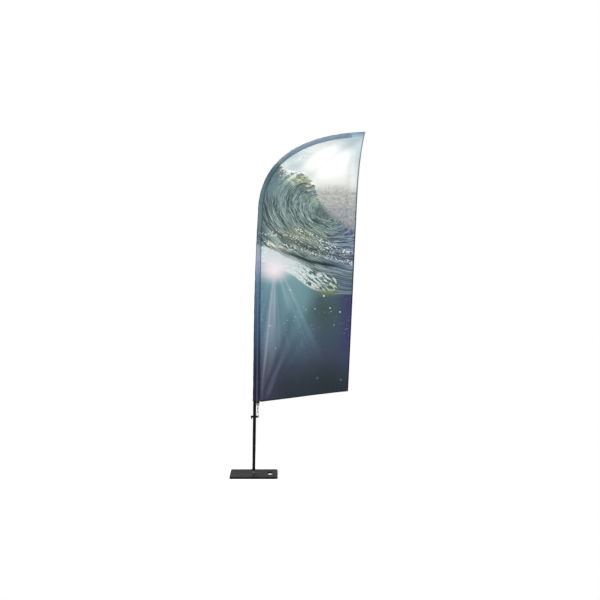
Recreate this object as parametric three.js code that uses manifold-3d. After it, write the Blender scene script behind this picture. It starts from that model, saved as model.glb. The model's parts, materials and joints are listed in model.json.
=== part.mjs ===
// A feather flag on a leaning pole that turns on a spindle in a flat steel base plate.
// Millimetres, +Z up. The origin is the spindle's axis at floor level, the flag lies in the XZ plane
// and reaches towards +X. What hangs on the pole is drawn in the pole's own frame, where the lower
// pole is upright, and then leans with it.
import * as THREE from "three";
import { mergeVertices } from "three/addons/utils/BufferGeometryUtils.js";
import Module from "manifold-3d";

const wasm = await Module();
wasm.setup();

// ---- Clearances -----------------------------------------------------------------------------------
const FACE_GAP = 0.3; // between pieces that touch, face to face
const RUNNING_GAP = 0.25; // between a shaft and what turns on it
const LEAN_CONTACT = 0.15; // left where the leaning pole bears on the rotor
const CUT_MARGIN = 1; // by which a cutting body stands out of what it cuts

// ---- Base -----------------------------------------------------------------------------------------
const PLATE_SIDE = 300;
const PLATE_THICKNESS = 9;
const PLATE_CORNER = 12;
const PLATE_EDGE_BREAK = 0.8;
const MAT_THICKNESS = 3;
const MAT_INSET = 2;
const SLOT_CENTRE_X = 102;
const SLOT_WIDTH = 30;
const SLOT_LENGTH = 110;

// ---- Spindle and rotor ----------------------------------------------------------------------------
const SPINDLE_DIAMETER = 8;
const SPINDLE_HEAD_DIAMETER = 16;
const SPINDLE_TAIL = 6; // above the upper washer
const SPINDLE_CHAMFER = 1;
const WASHER_DIAMETER = 17;
const WASHER_THICKNESS = 1.6;
const NUT_FLATS = 13;
const NUT_HEIGHT = 6.5;
const ROTOR_SLACK = 1; // between the rotor and the pole's bore, all round
const ROTOR_WALL = 1.7;
const ROTOR_LENGTH = 120; // the part that enters the pole
const ROTOR_FLANGE = 3;
const BUSH_LENGTH = 14;
const BUSH_FLANGE = 1.5;
const TOP_WASHER_DIAMETER = 12.6;
const TOP_WASHER_THICKNESS = 1;
const RING_DIAMETER = 12;
const RING_THICKNESS = 1;
const RING_GROOVE_DEPTH = 0.8;
const RING_MOUTH_SHARE = 0.4; // half of the ring's opening, as a share of its bore

// ---- Pole -----------------------------------------------------------------------------------------
const POLE_DIAMETER = 20;
const POLE_WALL = 1.5;
const MIDDLE_DIAMETER = 14;
const MIDDLE_WALL = 1.5;
const TIP_ROOT_DIAMETER = 8;
const TIP_END_DIAMETER = 5;
const LOWER_TOP = 1000; // height of the lower section's upper end
const MIDDLE_TOP = 1700; // height where the bow begins
const MIDDLE_DRIFT = 14; // how far the pole has bent sideways there
const BOW_REACH = 550.5; // from there to the tip, sideways
const BOW_RISE = 479; // and upwards
const BOW_START_HANDLE = 280;
const BOW_END_HANDLE = 336;
const BOW_END_SLOPE = THREE.MathUtils.degToRad(7.5);
const MIDDLE_INSERT = 100; // of the middle section in the lower one
const TIP_INSERT = 80; // of the tip rod in the middle section
const JOINT_BUSH_LENGTH = 45;
const JOINT_BUSH_FLANGE = 3;
const TIP_CAP_DIAMETER = 7;
const TIP_CAP_LENGTH = 12;
const TIP_CAP_DEPTH = 8; // of rod inside the cap
const TIP_CAP_BEVEL_LENGTH = 2;
const TIP_CAP_BEVEL_WIDTH = 1.5;

// ---- Flag -----------------------------------------------------------------------------------------
const SLEEVE_MOUTH = 470;
const SLEEVE_WALL = 1.2;
const SLEEVE_SLACK = 1.3; // around the pole
const SLEEVE_LOW_WIDTH = 48;
const SLEEVE_BOW_WIDTH = 30;
const SLEEVE_SEAM = 2; // thickness where its two walls are sewn together
const SEAM_STANDOFF = 2; // from the hollow to the seam, in thicknesses of the wall
const SEAM_SLIT = 0.75; // of the wall's thickness, on each side of the hollow's narrow end
const SHARPEST_DROP = 0.9; // largest cosine of the angle where a drop's round side begins
const TIP_POCKET_LENGTH = 24;
const TIP_POCKET_THICKNESS = 4;
const PANEL_THICKNESS = 1;
const BINDING_WIDTH = 8;
const BINDING_THICKNESS = 2;
const PANEL_CORNER_DROP = 5; // of the panel's lower corner below the sleeve's mouth
const HORN_REACH = 116; // of the pointed upper corner beyond the pole's tip
const HORN_LIFT = 14; // of that corner above the tip
const FLARE_DROP = 404; // from that corner down to where the free edge runs straight
const FLARE_WIDTH = 45;
const FLARE_END_SLOPE = 0.25; // sideways per height, at the corner
const FREE_EDGE_TAPER = 42; // of the straight stretch
const FREE_CORNER_RISE = 70; // of the lower free corner above the sleeve's mouth
const BOTTOM_FLAT_RUN = 74; // of the bottom edge where it nears the free corner
const BOTTOM_FLAT_RISE = 5;
const SHORTEST_STEP = 1; // between the points of a clipped edge

// ---- Tension hardware, heights along the pole -----------------------------------------------------
const COLLAR_DROP = 99; // from the sleeve's mouth down to the collar's middle
const COLLAR_WIDTH = 12;
const COLLAR_WALL = 3;
const HOOK_CLEARANCE = 0.6; // between the collar's ring and the hook
const CLEVIS_PLATE = 3;
const CLEVIS_MARGIN = 5; // beyond the hook's pin
const HOOK_PIN_DIAMETER = 4;
const HOOK_PIN_HEAD = 6.5;
const HOOK_PIN_HEAD_THICKNESS = 1;
const HOOK_PIN_RISE = 2; // above the collar's middle
const CLAMP_SPLIT = 2;
const CLAMP_EAR = 5;
const CLAMP_MARGIN = 5.3; // on both sides of the clamp screw's axis
const CLAMP_SCREW_DIAMETER = 4;
const CLAMP_NUT_FLATS = 7;
const CLAMP_NUT_HEIGHT = 3.2;
const CLAMP_SCREW_TAIL = 1.5; // beyond the nut
const LEVER_BOSS_DIAMETER = 9;
const LEVER_THICKNESS = 5;
const LEVER_ARM = 15;
const LEVER_TIP_DIAMETER = 5;
const HOOK_WIRE = 3;
const HOOK_WIDTH = 11; // between the wire's centres
const HOOK_HEIGHT = 34; // between the wire's centres
const GATE_LENGTH = 17;
const GATE_WIDTH = 3;
const GATE_RIVET_DIAMETER = 1.2;
const GATE_RIVET_HEAD = 0.6;
const HINGE_CHEEK = 1.2;
const HINGE_CHEEK_WIDTH = 3.2;
const HINGE_CHEEK_RISE = 2; // above the rivet, and from the rivet down to the seat between the cheeks
const HINGE_SEAT = 4; // from the rivet down to the seat's underside
const WIRE_END_DROP = 2.5; // from the rivet down to the wire's end inside the seat
const CORD_DIAMETER = 4.6;
const CORD_PINCH = 2.6; // from the cord's middle plane to each strand inside the crimp
const CORD_END_GAP = 1; // from the crimp's middle to each cord end
const CRIMP_LENGTH = 9;
const CRIMP_WALL = 1;
const TAB_TOP_WIDTH = 24;
const TAB_TIP_WIDTH = 19;
const TAB_DROP = 24;
const TAB_THICKNESS = 3;
const TAB_POLE_TRIM = 2; // off the tab's top, on the pole's side
const EYELET_HOLE = 9;
const EYELET_BARREL_WALL = 0.7;
const EYELET_FLANGE_DIAMETER = 15;
const EYELET_FLANGE = 0.8;

// ---- Facets: into how many straight pieces each curve is divided ----------------------------------
const ROUND = 40;
const SMALL_ROUND = 24;
const TINY_ROUND = 12;
const HEXAGON = 6;
const CORNER_STEPS = 8; // of a rounded corner, and of the half circles of the cord and the hook
const WIRE_SIDES = 5; // of half of the round section of a cord or a wire
const DROP_SIDES = 16;
const ROD_SIDES = 16;
const BOW_STEPS = 26; // along the bowed part of the pole
const BEND_STEPS = 10; // along the pole's gently bent middle section
const SLEEVE_BEND_STEPS = 8;
const FREE_EDGE_STEPS = 10;
const BOTTOM_EDGE_STEPS = 12;
const CORD_STEPS = 60;
const HOOK_STEPS = 44;
const GATE_CORNER_STEPS = 6;
const LEVER_CORNER_STEPS = 16;

// ---- Heights that follow from the sizes above -----------------------------------------------------
const PLATE_UNDERSIDE = MAT_THICKNESS + FACE_GAP;
const PLATE_TOP = PLATE_UNDERSIDE + PLATE_THICKNESS;
const WASHER_BOTTOM = PLATE_TOP + FACE_GAP;
const NUT_BOTTOM = WASHER_BOTTOM + WASHER_THICKNESS + FACE_GAP;
const BUSH_BOTTOM = NUT_BOTTOM + NUT_HEIGHT + FACE_GAP;
const ROTOR_BOTTOM = BUSH_BOTTOM + BUSH_FLANGE + FACE_GAP;
const ROTOR_SHOULDER = ROTOR_BOTTOM + ROTOR_FLANGE;
const ROTOR_TOP = ROTOR_SHOULDER + ROTOR_LENGTH;
const ROTOR_DIAMETER = POLE_DIAMETER - 2 * POLE_WALL - 2 * ROTOR_SLACK;
const TOP_BUSH_TOP = ROTOR_TOP + FACE_GAP + BUSH_FLANGE;
const TOP_WASHER_BOTTOM = TOP_BUSH_TOP + FACE_GAP;
const RING_BOTTOM = TOP_WASHER_BOTTOM + TOP_WASHER_THICKNESS + FACE_GAP;
const SPINDLE_TOP = RING_BOTTOM + RING_THICKNESS + SPINDLE_TAIL;
const ROTOR_MIDDLE = (ROTOR_SHOULDER + ROTOR_TOP) / 2;
const POLE_FOOT = ROTOR_SHOULDER + 2 * FACE_GAP;

const COLLAR_HEIGHT = SLEEVE_MOUTH - COLLAR_DROP;
const COLLAR_BORE = POLE_DIAMETER + 2 * FACE_GAP;
const COLLAR_OUTER = COLLAR_BORE + 2 * COLLAR_WALL;
const CLAMP_SCREW_OFFSET = COLLAR_OUTER / 2 + CLAMP_MARGIN;
const EAR_FACE = CLAMP_SPLIT / 2 + CLAMP_EAR;
const HINGE_HALF = GATE_WIDTH / 2 + FACE_GAP + HINGE_CHEEK;
const CLEVIS_HALF_GAP = HINGE_HALF + HOOK_CLEARANCE;
// From the pole's axis to the hook and the cord above it.
const TETHER_OFFSET = COLLAR_OUTER / 2 + HOOK_CLEARANCE + (HOOK_WIRE + HOOK_WIDTH) / 2;

// The pole leans until its bore bears on the rotor's two ends.
const LEAN = Math.atan((ROTOR_SLACK - LEAN_CONTACT) / (ROTOR_LENGTH / 2));

// ---- Solids ---------------------------------------------------------------------------------------

// A closed geometry as a manifold-3d solid.
function toSolid(geometry) {
  const bare = geometry.clone();
  bare.deleteAttribute("normal");
  bare.deleteAttribute("uv");
  const merged = mergeVertices(bare, 1e-4);
  const vertProperties = new Float32Array(merged.attributes.position.array);
  const triVerts = new Uint32Array(merged.index.array);
  return new wasm.Manifold(new wasm.Mesh({ numProp: 3, vertProperties, triVerts }));
}

function fromSolid(solid) {
  const mesh = solid.getMesh();
  const geometry = new THREE.BufferGeometry();
  geometry.setAttribute("position", new THREE.BufferAttribute(mesh.vertProperties, 3));
  geometry.setIndex(new THREE.BufferAttribute(mesh.triVerts, 1));
  return geometry;
}

function cut(body, ...tools) {
  return fromSolid(tools.reduce((solid, tool) => solid.subtract(toSolid(tool)), toSolid(body)));
}

function join(body, ...others) {
  return fromSolid(others.reduce((solid, other) => solid.add(toSolid(other)), toSolid(body)));
}

// A body turned about Z from [radius, height] pairs that start and end on the axis.
function turned(profile, segments = ROUND) {
  const points = profile.map(([radius, height]) => new THREE.Vector2(radius, height));
  if (THREE.ShapeUtils.area(points) < 0) points.reverse();
  return new THREE.LatheGeometry(points, segments).rotateX(Math.PI / 2);
}

// A body turned about Z whose profile closes on itself, such as a tube or a flanged bush.
function turnedRing(profile, segments = ROUND) {
  const points = profile.map(([radius, height]) => new THREE.Vector2(radius, height));
  if (THREE.ShapeUtils.area(points) < 0) points.reverse();
  points.push(points[0].clone());
  return new THREE.LatheGeometry(points, segments).rotateX(Math.PI / 2);
}

function tube(outer, inner, bottom, top, segments = ROUND) {
  const profile = [
    [outer / 2, bottom],
    [outer / 2, top],
    [inner / 2, top],
    [inner / 2, bottom],
  ];
  return turnedRing(profile, segments);
}

// A straight round bar along Z.
function bar(diameter, bottom, top, segments = ROUND) {
  const length = top - bottom;
  const round = new THREE.CylinderGeometry(diameter / 2, diameter / 2, length, segments);
  return round.rotateX(Math.PI / 2).translate(0, 0, bottom + length / 2);
}

// A straight round bar along Y, centred at x and z.
function crossBar(diameter, x, z, front, back, segments = SMALL_ROUND) {
  const length = back - front;
  const round = new THREE.CylinderGeometry(diameter / 2, diameter / 2, length, segments);
  return round.translate(x, front + length / 2, z);
}

function block(x0, x1, y0, y1, z0, z1) {
  const box = new THREE.BoxGeometry(x1 - x0, y1 - y0, z1 - z0);
  return box.translate((x0 + x1) / 2, (y0 + y1) / 2, (z0 + z1) / 2);
}

// A hexagonal prism along Z with two flats facing Y.
function hexagon(flats, bottom, top) {
  const corner = flats / Math.sqrt(3);
  return bar(2 * corner, bottom, top, HEXAGON);
}

// A flat shape drawn in X and Y, raised along Z from bottom to top.
function raised(shape, bottom, top, curveSegments = 10) {
  const options = { depth: top - bottom, bevelEnabled: false, curveSegments };
  return new THREE.ExtrudeGeometry(shape, options).translate(0, 0, bottom);
}

// A flat shape drawn in X and Z, with its thickness along Y about the middle plane.
function upright(shape, thickness, middle = 0, curveSegments = 12) {
  const options = { depth: thickness, bevelEnabled: false, curveSegments };
  const flat = new THREE.ExtrudeGeometry(shape, options).translate(0, 0, -thickness / 2);
  return flat.rotateX(Math.PI / 2).translate(0, middle, 0);
}

function roundedSquare(side, corner) {
  const h = side / 2;
  const shape = new THREE.Shape();
  shape.moveTo(h, -h + corner);
  shape.absarc(h - corner, h - corner, corner, 0, Math.PI / 2);
  shape.absarc(-h + corner, h - corner, corner, Math.PI / 2, Math.PI);
  shape.absarc(-h + corner, -h + corner, corner, Math.PI, 1.5 * Math.PI);
  shape.absarc(h - corner, -h + corner, corner, 1.5 * Math.PI, 2 * Math.PI);
  return shape;
}

// The carrying slot, round at both ends and long in Y; grow widens it all round.
function slotPath(grow) {
  const radius = SLOT_WIDTH / 2 + grow;
  const run = (SLOT_LENGTH - SLOT_WIDTH) / 2;
  const path = new THREE.Path();
  path.moveTo(SLOT_CENTRE_X + radius, -run);
  path.absarc(SLOT_CENTRE_X, run, radius, 0, Math.PI);
  path.absarc(SLOT_CENTRE_X, -run, radius, Math.PI, 2 * Math.PI);
  return path;
}

// A round section swept along a path, as wire and cord are.
function swept(path, diameter, steps, sides = 12) {
  const section = new THREE.Shape();
  section.absarc(0, 0, diameter / 2, 0, 2 * Math.PI);
  const options = { steps, extrudePath: path, curveSegments: sides, bevelEnabled: false };
  return new THREE.ExtrudeGeometry(section, options);
}

// ---- The pole's line ------------------------------------------------------------------------------

function poleLine() {
  const line = new THREE.CurvePath();
  const joint = new THREE.Vector3(0, 0, LOWER_TOP);
  const knee = new THREE.Vector3(MIDDLE_DRIFT, 0, MIDDLE_TOP);
  const kneePull = new THREE.Vector3(0, 0, (LOWER_TOP + MIDDLE_TOP) / 2);
  const kneeWay = knee.clone().sub(kneePull).normalize();
  const tip = new THREE.Vector3(MIDDLE_DRIFT + BOW_REACH, 0, MIDDLE_TOP + BOW_RISE);
  const tipWay = new THREE.Vector3(Math.cos(BOW_END_SLOPE), 0, Math.sin(BOW_END_SLOPE));
  const bowStart = knee.clone().addScaledVector(kneeWay, BOW_START_HANDLE);
  const bowEnd = tip.clone().addScaledVector(tipWay, -BOW_END_HANDLE);
  line.add(new THREE.LineCurve3(new THREE.Vector3(), joint));
  line.add(new THREE.QuadraticBezierCurve3(joint, kneePull, knee));
  line.add(new THREE.CubicBezierCurve3(knee, bowStart, bowEnd, tip));
  return line;
}

const POLE_LINE = poleLine();
const [LOWER_END, MIDDLE_END, POLE_END] = POLE_LINE.getCurveLengths();

// The point at distance s along the pole, with the flag's side of it.
function alongPole(s) {
  const t = s / POLE_END;
  const past = s - THREE.MathUtils.clamp(s, 0, POLE_END);
  const point = POLE_LINE.getPoint(THREE.MathUtils.clamp(t, 0, 1));
  const way = POLE_LINE.getTangent(THREE.MathUtils.clamp(t, 0, 1));
  const side = new THREE.Vector3(way.z, 0, -way.x);
  return { point: point.addScaledVector(way, past), side };
}

// A body drawn upright about Z, bent so that its height runs along the pole.
function bent(geometry) {
  const position = geometry.attributes.position;
  const v = new THREE.Vector3();
  for (let i = 0; i < position.count; i++) {
    v.fromBufferAttribute(position, i);
    const { point, side } = alongPole(v.z);
    point.addScaledVector(side, v.x);
    position.setXYZ(i, point.x, v.y, point.z);
  }
  return geometry;
}

// Stations from one distance along the pole to another.
function stations(from, to, count) {
  return Array.from({ length: count + 1 }, (_, i) => from + ((to - from) * i) / count);
}

// ---- Base, spindle and rotor ----------------------------------------------------------------------

function spindleProfile(grow) {
  const radius = SPINDLE_DIAMETER / 2 + grow;
  const head = SPINDLE_HEAD_DIAMETER / 2 + grow;
  const bottom = PLATE_UNDERSIDE + FACE_GAP;
  return { radius, head, bottom, neck: bottom + (head - radius) };
}

function basePlate() {
  const shape = roundedSquare(PLATE_SIDE - 2 * PLATE_EDGE_BREAK, PLATE_CORNER - PLATE_EDGE_BREAK);
  shape.holes.push(slotPath(PLATE_EDGE_BREAK));
  const options = {
    depth: PLATE_THICKNESS - 2 * PLATE_EDGE_BREAK,
    bevelThickness: PLATE_EDGE_BREAK,
    bevelSize: PLATE_EDGE_BREAK,
    bevelSegments: 1,
    curveSegments: CORNER_STEPS,
  };
  const plate = new THREE.ExtrudeGeometry(shape, options);
  plate.translate(0, 0, PLATE_UNDERSIDE + PLATE_EDGE_BREAK);
  const { radius, head, neck } = spindleProfile(FACE_GAP);
  const hole = turned([
    [0, 0],
    [head, 0],
    [head, neck - (head - radius)],
    [radius, neck],
    [radius, 2 * PLATE_TOP],
    [0, 2 * PLATE_TOP],
  ]);
  return cut(plate, hole);
}

function floorMat() {
  const shape = roundedSquare(PLATE_SIDE - 2 * MAT_INSET, PLATE_CORNER - MAT_INSET);
  shape.holes.push(slotPath(0));
  return raised(shape, 0, MAT_THICKNESS, CORNER_STEPS);
}

function spindle() {
  const { radius, head, bottom, neck } = spindleProfile(0);
  const groove = radius - RING_GROOVE_DEPTH;
  const ringTop = RING_BOTTOM + RING_THICKNESS;
  return turned([
    [0, bottom],
    [head, bottom],
    [radius, neck],
    [radius, RING_BOTTOM - FACE_GAP / 2],
    [groove, RING_BOTTOM - FACE_GAP / 2],
    [groove, ringTop + FACE_GAP / 2],
    [radius, ringTop + FACE_GAP / 2],
    [radius, SPINDLE_TOP - SPINDLE_CHAMFER],
    [radius - SPINDLE_CHAMFER, SPINDLE_TOP],
    [0, SPINDLE_TOP],
  ]);
}

function spindleNut() {
  const nut = hexagon(NUT_FLATS, NUT_BOTTOM, NUT_BOTTOM + NUT_HEIGHT);
  return cut(nut, bar(SPINDLE_DIAMETER + 2 * RUNNING_GAP, 0, ROTOR_TOP));
}

// A flanged bearing bush; its barrel lies on the far side of the flange, upwards or downwards.
function bearingBush(flangeBottom, up) {
  const bore = SPINDLE_DIAMETER / 2 + RUNNING_GAP;
  const barrel = ROTOR_DIAMETER / 2 - ROTOR_WALL - RUNNING_GAP;
  const flangeTop = flangeBottom + BUSH_FLANGE;
  const near = up ? flangeTop : flangeBottom;
  const outer = up ? flangeBottom : flangeTop;
  const end = near + (up ? BUSH_LENGTH : -BUSH_LENGTH);
  return turnedRing([
    [bore, outer],
    [TOP_WASHER_DIAMETER / 2, outer],
    [TOP_WASHER_DIAMETER / 2, near],
    [barrel, near],
    [barrel, end],
    [bore, end],
  ]);
}

function rotor() {
  const bore = ROTOR_DIAMETER / 2 - ROTOR_WALL;
  return turnedRing([
    [bore, ROTOR_BOTTOM],
    [POLE_DIAMETER / 2, ROTOR_BOTTOM],
    [POLE_DIAMETER / 2, ROTOR_SHOULDER],
    [ROTOR_DIAMETER / 2, ROTOR_SHOULDER],
    [ROTOR_DIAMETER / 2, ROTOR_TOP],
    [bore, ROTOR_TOP],
  ]);
}

// A split spring ring that sits in the spindle's groove.
function retainingRing() {
  const inner = SPINDLE_DIAMETER - 2 * RING_GROOVE_DEPTH + 2 * RUNNING_GAP;
  const whole = tube(RING_DIAMETER, inner, RING_BOTTOM, RING_BOTTOM + RING_THICKNESS);
  const mouth = inner * RING_MOUTH_SHARE;
  const split = block(0, RING_DIAMETER, -mouth, mouth, 0, SPINDLE_TOP);
  return cut(whole, split);
}

// ---- Pole -----------------------------------------------------------------------------------------

function lowerPole() {
  return tube(POLE_DIAMETER, POLE_DIAMETER - 2 * POLE_WALL, POLE_FOOT, LOWER_TOP);
}

// The bush that holds a thinner section in the end of a thicker one; its flange covers the rim.
function jointBush(end, outer, wall, inner) {
  const barrel = outer / 2 - wall - FACE_GAP;
  const bore = inner / 2 + RUNNING_GAP;
  const flangeBottom = end + FACE_GAP;
  const straight = turnedRing(
    [
      [bore, end - JOINT_BUSH_LENGTH],
      [barrel, end - JOINT_BUSH_LENGTH],
      [barrel, end - JOINT_BUSH_LENGTH / 2],
      [barrel, flangeBottom],
      [outer / 2, flangeBottom],
      [outer / 2, flangeBottom + JOINT_BUSH_FLANGE],
      [bore, flangeBottom + JOINT_BUSH_FLANGE],
      [bore, end - JOINT_BUSH_LENGTH / 2],
    ],
    SMALL_ROUND,
  );
  return bent(straight);
}

function middlePole() {
  const outer = MIDDLE_DIAMETER / 2;
  const inner = outer - MIDDLE_WALL;
  const bend = stations(LOWER_END, MIDDLE_END, BEND_STEPS);
  const run = [LOWER_END - MIDDLE_INSERT, ...bend];
  const outside = run.map((s) => [outer, s]);
  const inside = run.map((s) => [inner, s]).reverse();
  return bent(turnedRing([...outside, ...inside], SMALL_ROUND));
}

function tipRadius(s) {
  const t = THREE.MathUtils.clamp((s - MIDDLE_END) / (POLE_END - MIDDLE_END), 0, 1);
  return THREE.MathUtils.lerp(TIP_ROOT_DIAMETER, TIP_END_DIAMETER, t) / 2;
}

function tipRod() {
  const start = MIDDLE_END - TIP_INSERT;
  const run = [start, start + TIP_INSERT / 2, ...stations(MIDDLE_END, POLE_END, BOW_STEPS)];
  const side = run.map((s) => [tipRadius(s), s]);
  return bent(turned([[0, start], ...side, [0, POLE_END]], ROD_SIDES));
}

// A blunt cap that keeps the rod's end from wearing through the flag.
function tipCap() {
  const bore = TIP_END_DIAMETER / 2 + 2 * RUNNING_GAP;
  const open = POLE_END - TIP_CAP_DEPTH;
  const crown = open + TIP_CAP_LENGTH;
  const radius = TIP_CAP_DIAMETER / 2;
  const cap = turned([
    [0, POLE_END + FACE_GAP],
    [bore, POLE_END + FACE_GAP],
    [bore, open],
    [radius, open],
    [radius, crown - TIP_CAP_BEVEL_LENGTH],
    [radius - TIP_CAP_BEVEL_WIDTH, crown],
    [0, crown],
  ]);
  return bent(cap);
}

// ---- Flag -----------------------------------------------------------------------------------------

const CAP_END = POLE_END - TIP_CAP_DEPTH + TIP_CAP_LENGTH;
const SLEEVE_END = CAP_END + FACE_GAP + SLEEVE_WALL;

// Radius of the sleeve's round side at a distance along the pole.
function sleeveRound(s) {
  const low = POLE_DIAMETER / 2;
  const end = TIP_CAP_DIAMETER / 2;
  const start = LOWER_END + 2 * JOINT_BUSH_FLANGE;
  const t = THREE.MathUtils.clamp((s - start) / (SLEEVE_END - start), 0, 1);
  return THREE.MathUtils.lerp(low, end, t) + SLEEVE_SLACK + SLEEVE_WALL;
}

// Distance from the pole's axis to the seam that closes the sleeve.
function seamOffset(s) {
  const t = THREE.MathUtils.clamp((s - SLEEVE_MOUTH) / (MIDDLE_END - SLEEVE_MOUTH), 0, 1);
  return THREE.MathUtils.lerp(SLEEVE_LOW_WIDTH, SLEEVE_BOW_WIDTH, t) - sleeveRound(s);
}

// One drop-shaped section: round about the pole, flat at the seam.
function dropSection(s, shrink) {
  const radius = sleeveRound(s) - shrink;
  const half = SLEEVE_SEAM / 2 - SEAM_SLIT * shrink;
  const seam = seamOffset(s) - SEAM_STANDOFF * shrink;
  const shoulder = Math.acos(Math.min(SHARPEST_DROP, (radius - half) / seam));
  const ring = [];
  for (let i = 0; i <= DROP_SIDES; i++) {
    const angle = shoulder + ((2 * Math.PI - 2 * shoulder) * i) / DROP_SIDES;
    ring.push(new THREE.Vector3(radius * Math.cos(angle), radius * Math.sin(angle), s));
  }
  ring.push(new THREE.Vector3(seam, -half, s), new THREE.Vector3(seam, half, s));
  return ring;
}

// A closed body through rings that all have the same number of points, in order upwards.
function lofted(rings) {
  const count = rings[0].length;
  const points = rings.flat();
  const index = [];
  for (let r = 0; r + 1 < rings.length; r++) {
    for (let i = 0; i < count; i++) {
      const a = r * count + i;
      const b = r * count + ((i + 1) % count);
      index.push(a, b, b + count, a, b + count, a + count);
    }
  }
  const top = (rings.length - 1) * count;
  for (let i = 1; i + 1 < count; i++) {
    index.push(0, i + 1, i);
    index.push(top, top + i, top + i + 1);
  }
  return new THREE.BufferGeometry().setFromPoints(points).setIndex(index);
}

function sleeveStations(from, to) {
  const low = [from, (from + LOWER_END) / 2, LOWER_END + 2 * JOINT_BUSH_FLANGE];
  const middle = stations(LOWER_END + 4 * JOINT_BUSH_FLANGE, MIDDLE_END, SLEEVE_BEND_STEPS);
  const bow = stations(MIDDLE_END, to, BOW_STEPS).slice(1);
  return [...low, ...middle, ...bow];
}

function poleSleeve() {
  const outside = sleeveStations(SLEEVE_MOUTH, SLEEVE_END);
  const inside = sleeveStations(SLEEVE_MOUTH, CAP_END + FACE_GAP);
  inside[0] -= CUT_MARGIN;
  const shell = lofted(outside.map((s) => dropSection(s, 0)));
  const hollow = lofted(inside.map((s) => dropSection(s, SLEEVE_WALL)));
  return bent(cut(shell, hollow));
}

// A point of the flag's plane, as X and Z, beside the pole.
function besidePole(s, offset) {
  const { point, side } = alongPole(s);
  return new THREE.Vector2(point.x + side.x * offset, point.z + side.z * offset);
}

const POCKET_START = SLEEVE_END + FACE_GAP;
const POCKET_END = POCKET_START + TIP_POCKET_LENGTH;

// The doubled webbing that closes the sleeve over the end of the pole.
function tipPocket() {
  const outer = -sleeveRound(SLEEVE_END);
  const inner = seamOffset(SLEEVE_END);
  const shape = new THREE.Shape([
    besidePole(POCKET_START, outer),
    besidePole(POCKET_END, outer),
    besidePole(POCKET_END, inner),
    besidePole(POCKET_START, inner),
  ]);
  return upright(shape, TIP_POCKET_THICKNESS);
}

// The flag's corners, as X and Z, and the points that pull its curved edges.
const TIP = new THREE.Vector2(MIDDLE_DRIFT + BOW_REACH, MIDDLE_TOP + BOW_RISE);
const HORN = new THREE.Vector2(TIP.x + HORN_REACH, TIP.y + HORN_LIFT);
const FREE_FLARE = new THREE.Vector2(HORN.x - FLARE_WIDTH, HORN.y - FLARE_DROP);
const FREE_CORNER = new THREE.Vector2(FREE_FLARE.x - FREE_EDGE_TAPER, SLEEVE_MOUTH + FREE_CORNER_RISE);
const FLARE_PULL_DROP = FLARE_DROP / 3;
const FREE_FLARE_PULL = new THREE.Vector2(
  HORN.x - FLARE_PULL_DROP * FLARE_END_SLOPE,
  HORN.y - FLARE_PULL_DROP,
);
const BOTTOM_PULL = new THREE.Vector2(
  FREE_CORNER.x - BOTTOM_FLAT_RUN,
  FREE_CORNER.y - BOTTOM_FLAT_RISE,
);

// Points of a plane curve moved sideways, to the left of its direction.
function shifted(points, distance) {
  return points.map((point, i) => {
    const before = points[Math.max(i - 1, 0)];
    const after = points[Math.min(i + 1, points.length - 1)];
    const way = after.clone().sub(before).normalize();
    return new THREE.Vector2(point.x - way.y * distance, point.y + way.x * distance);
  });
}

// The free edge from the lower corner up to the horn.
function freeEdge() {
  const flare = new THREE.QuadraticBezierCurve(FREE_FLARE, FREE_FLARE_PULL, HORN);
  return [FREE_CORNER.clone(), ...flare.getPoints(FREE_EDGE_STEPS)];
}

// The bottom edge from the sleeve to the lower free corner.
function bottomEdge() {
  const start = new THREE.Vector2(panelStart(), SLEEVE_MOUTH - PANEL_CORNER_DROP);
  const edge = new THREE.QuadraticBezierCurve(start, BOTTOM_PULL, FREE_CORNER);
  return edge.getPoints(BOTTOM_EDGE_STEPS);
}

function panelStart() {
  return seamOffset(SLEEVE_MOUTH) + FACE_GAP;
}

// Keeps the points of an edge that lie left of a limit, and ends it there.
function clippedAt(points, limit) {
  const kept = points.filter((point) => point.x < limit - SHORTEST_STEP);
  const next = points[kept.length];
  const last = kept[kept.length - 1];
  const t = (limit - last.x) / (next.x - last.x);
  kept.push(last.clone().lerp(next, t));
  return kept;
}

function flagPanel() {
  const inset = BINDING_WIDTH + FACE_GAP;
  const right = shifted(freeEdge(), inset);
  const rise = (FREE_FLARE.x - FREE_CORNER.x) / (FREE_FLARE.y - FREE_CORNER.y);
  const bottom = clippedAt(shifted(bottomEdge(), inset), right[0].x);
  right[0].y = bottom[bottom.length - 1].y;
  right[0].x = FREE_CORNER.x - inset + (right[0].y - FREE_CORNER.y) * rise;
  bottom[0].x = panelStart();
  bottom.pop();
  const seam = sleeveStations(SLEEVE_MOUTH, SLEEVE_END).reverse();
  const left = seam.map((s) => besidePole(s, seamOffset(s) + FACE_GAP));
  const pocketFoot = besidePole(POCKET_END + FACE_GAP, seamOffset(SLEEVE_END) + FACE_GAP);
  const pocketHead = besidePole(POCKET_END + FACE_GAP, -sleeveRound(SLEEVE_END));
  const outline = [...bottom, ...right, pocketHead, pocketFoot, ...left.slice(0, -1)];
  return upright(new THREE.Shape(outline), PANEL_THICKNESS);
}

function bindingStrip(edge) {
  const inner = shifted(edge, BINDING_WIDTH).reverse();
  return upright(new THREE.Shape([...edge, ...inner]), BINDING_THICKNESS);
}

function bottomBinding() {
  const edge = bottomEdge();
  const limit = FREE_CORNER.x - BINDING_WIDTH - FACE_GAP;
  const outer = clippedAt(edge, limit);
  const inner = clippedAt(shifted(edge, BINDING_WIDTH), limit).reverse();
  inner[inner.length - 1].x = panelStart();
  return upright(new THREE.Shape([...outer, ...inner]), BINDING_THICKNESS);
}

// ---- Tension hardware -----------------------------------------------------------------------------

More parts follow.
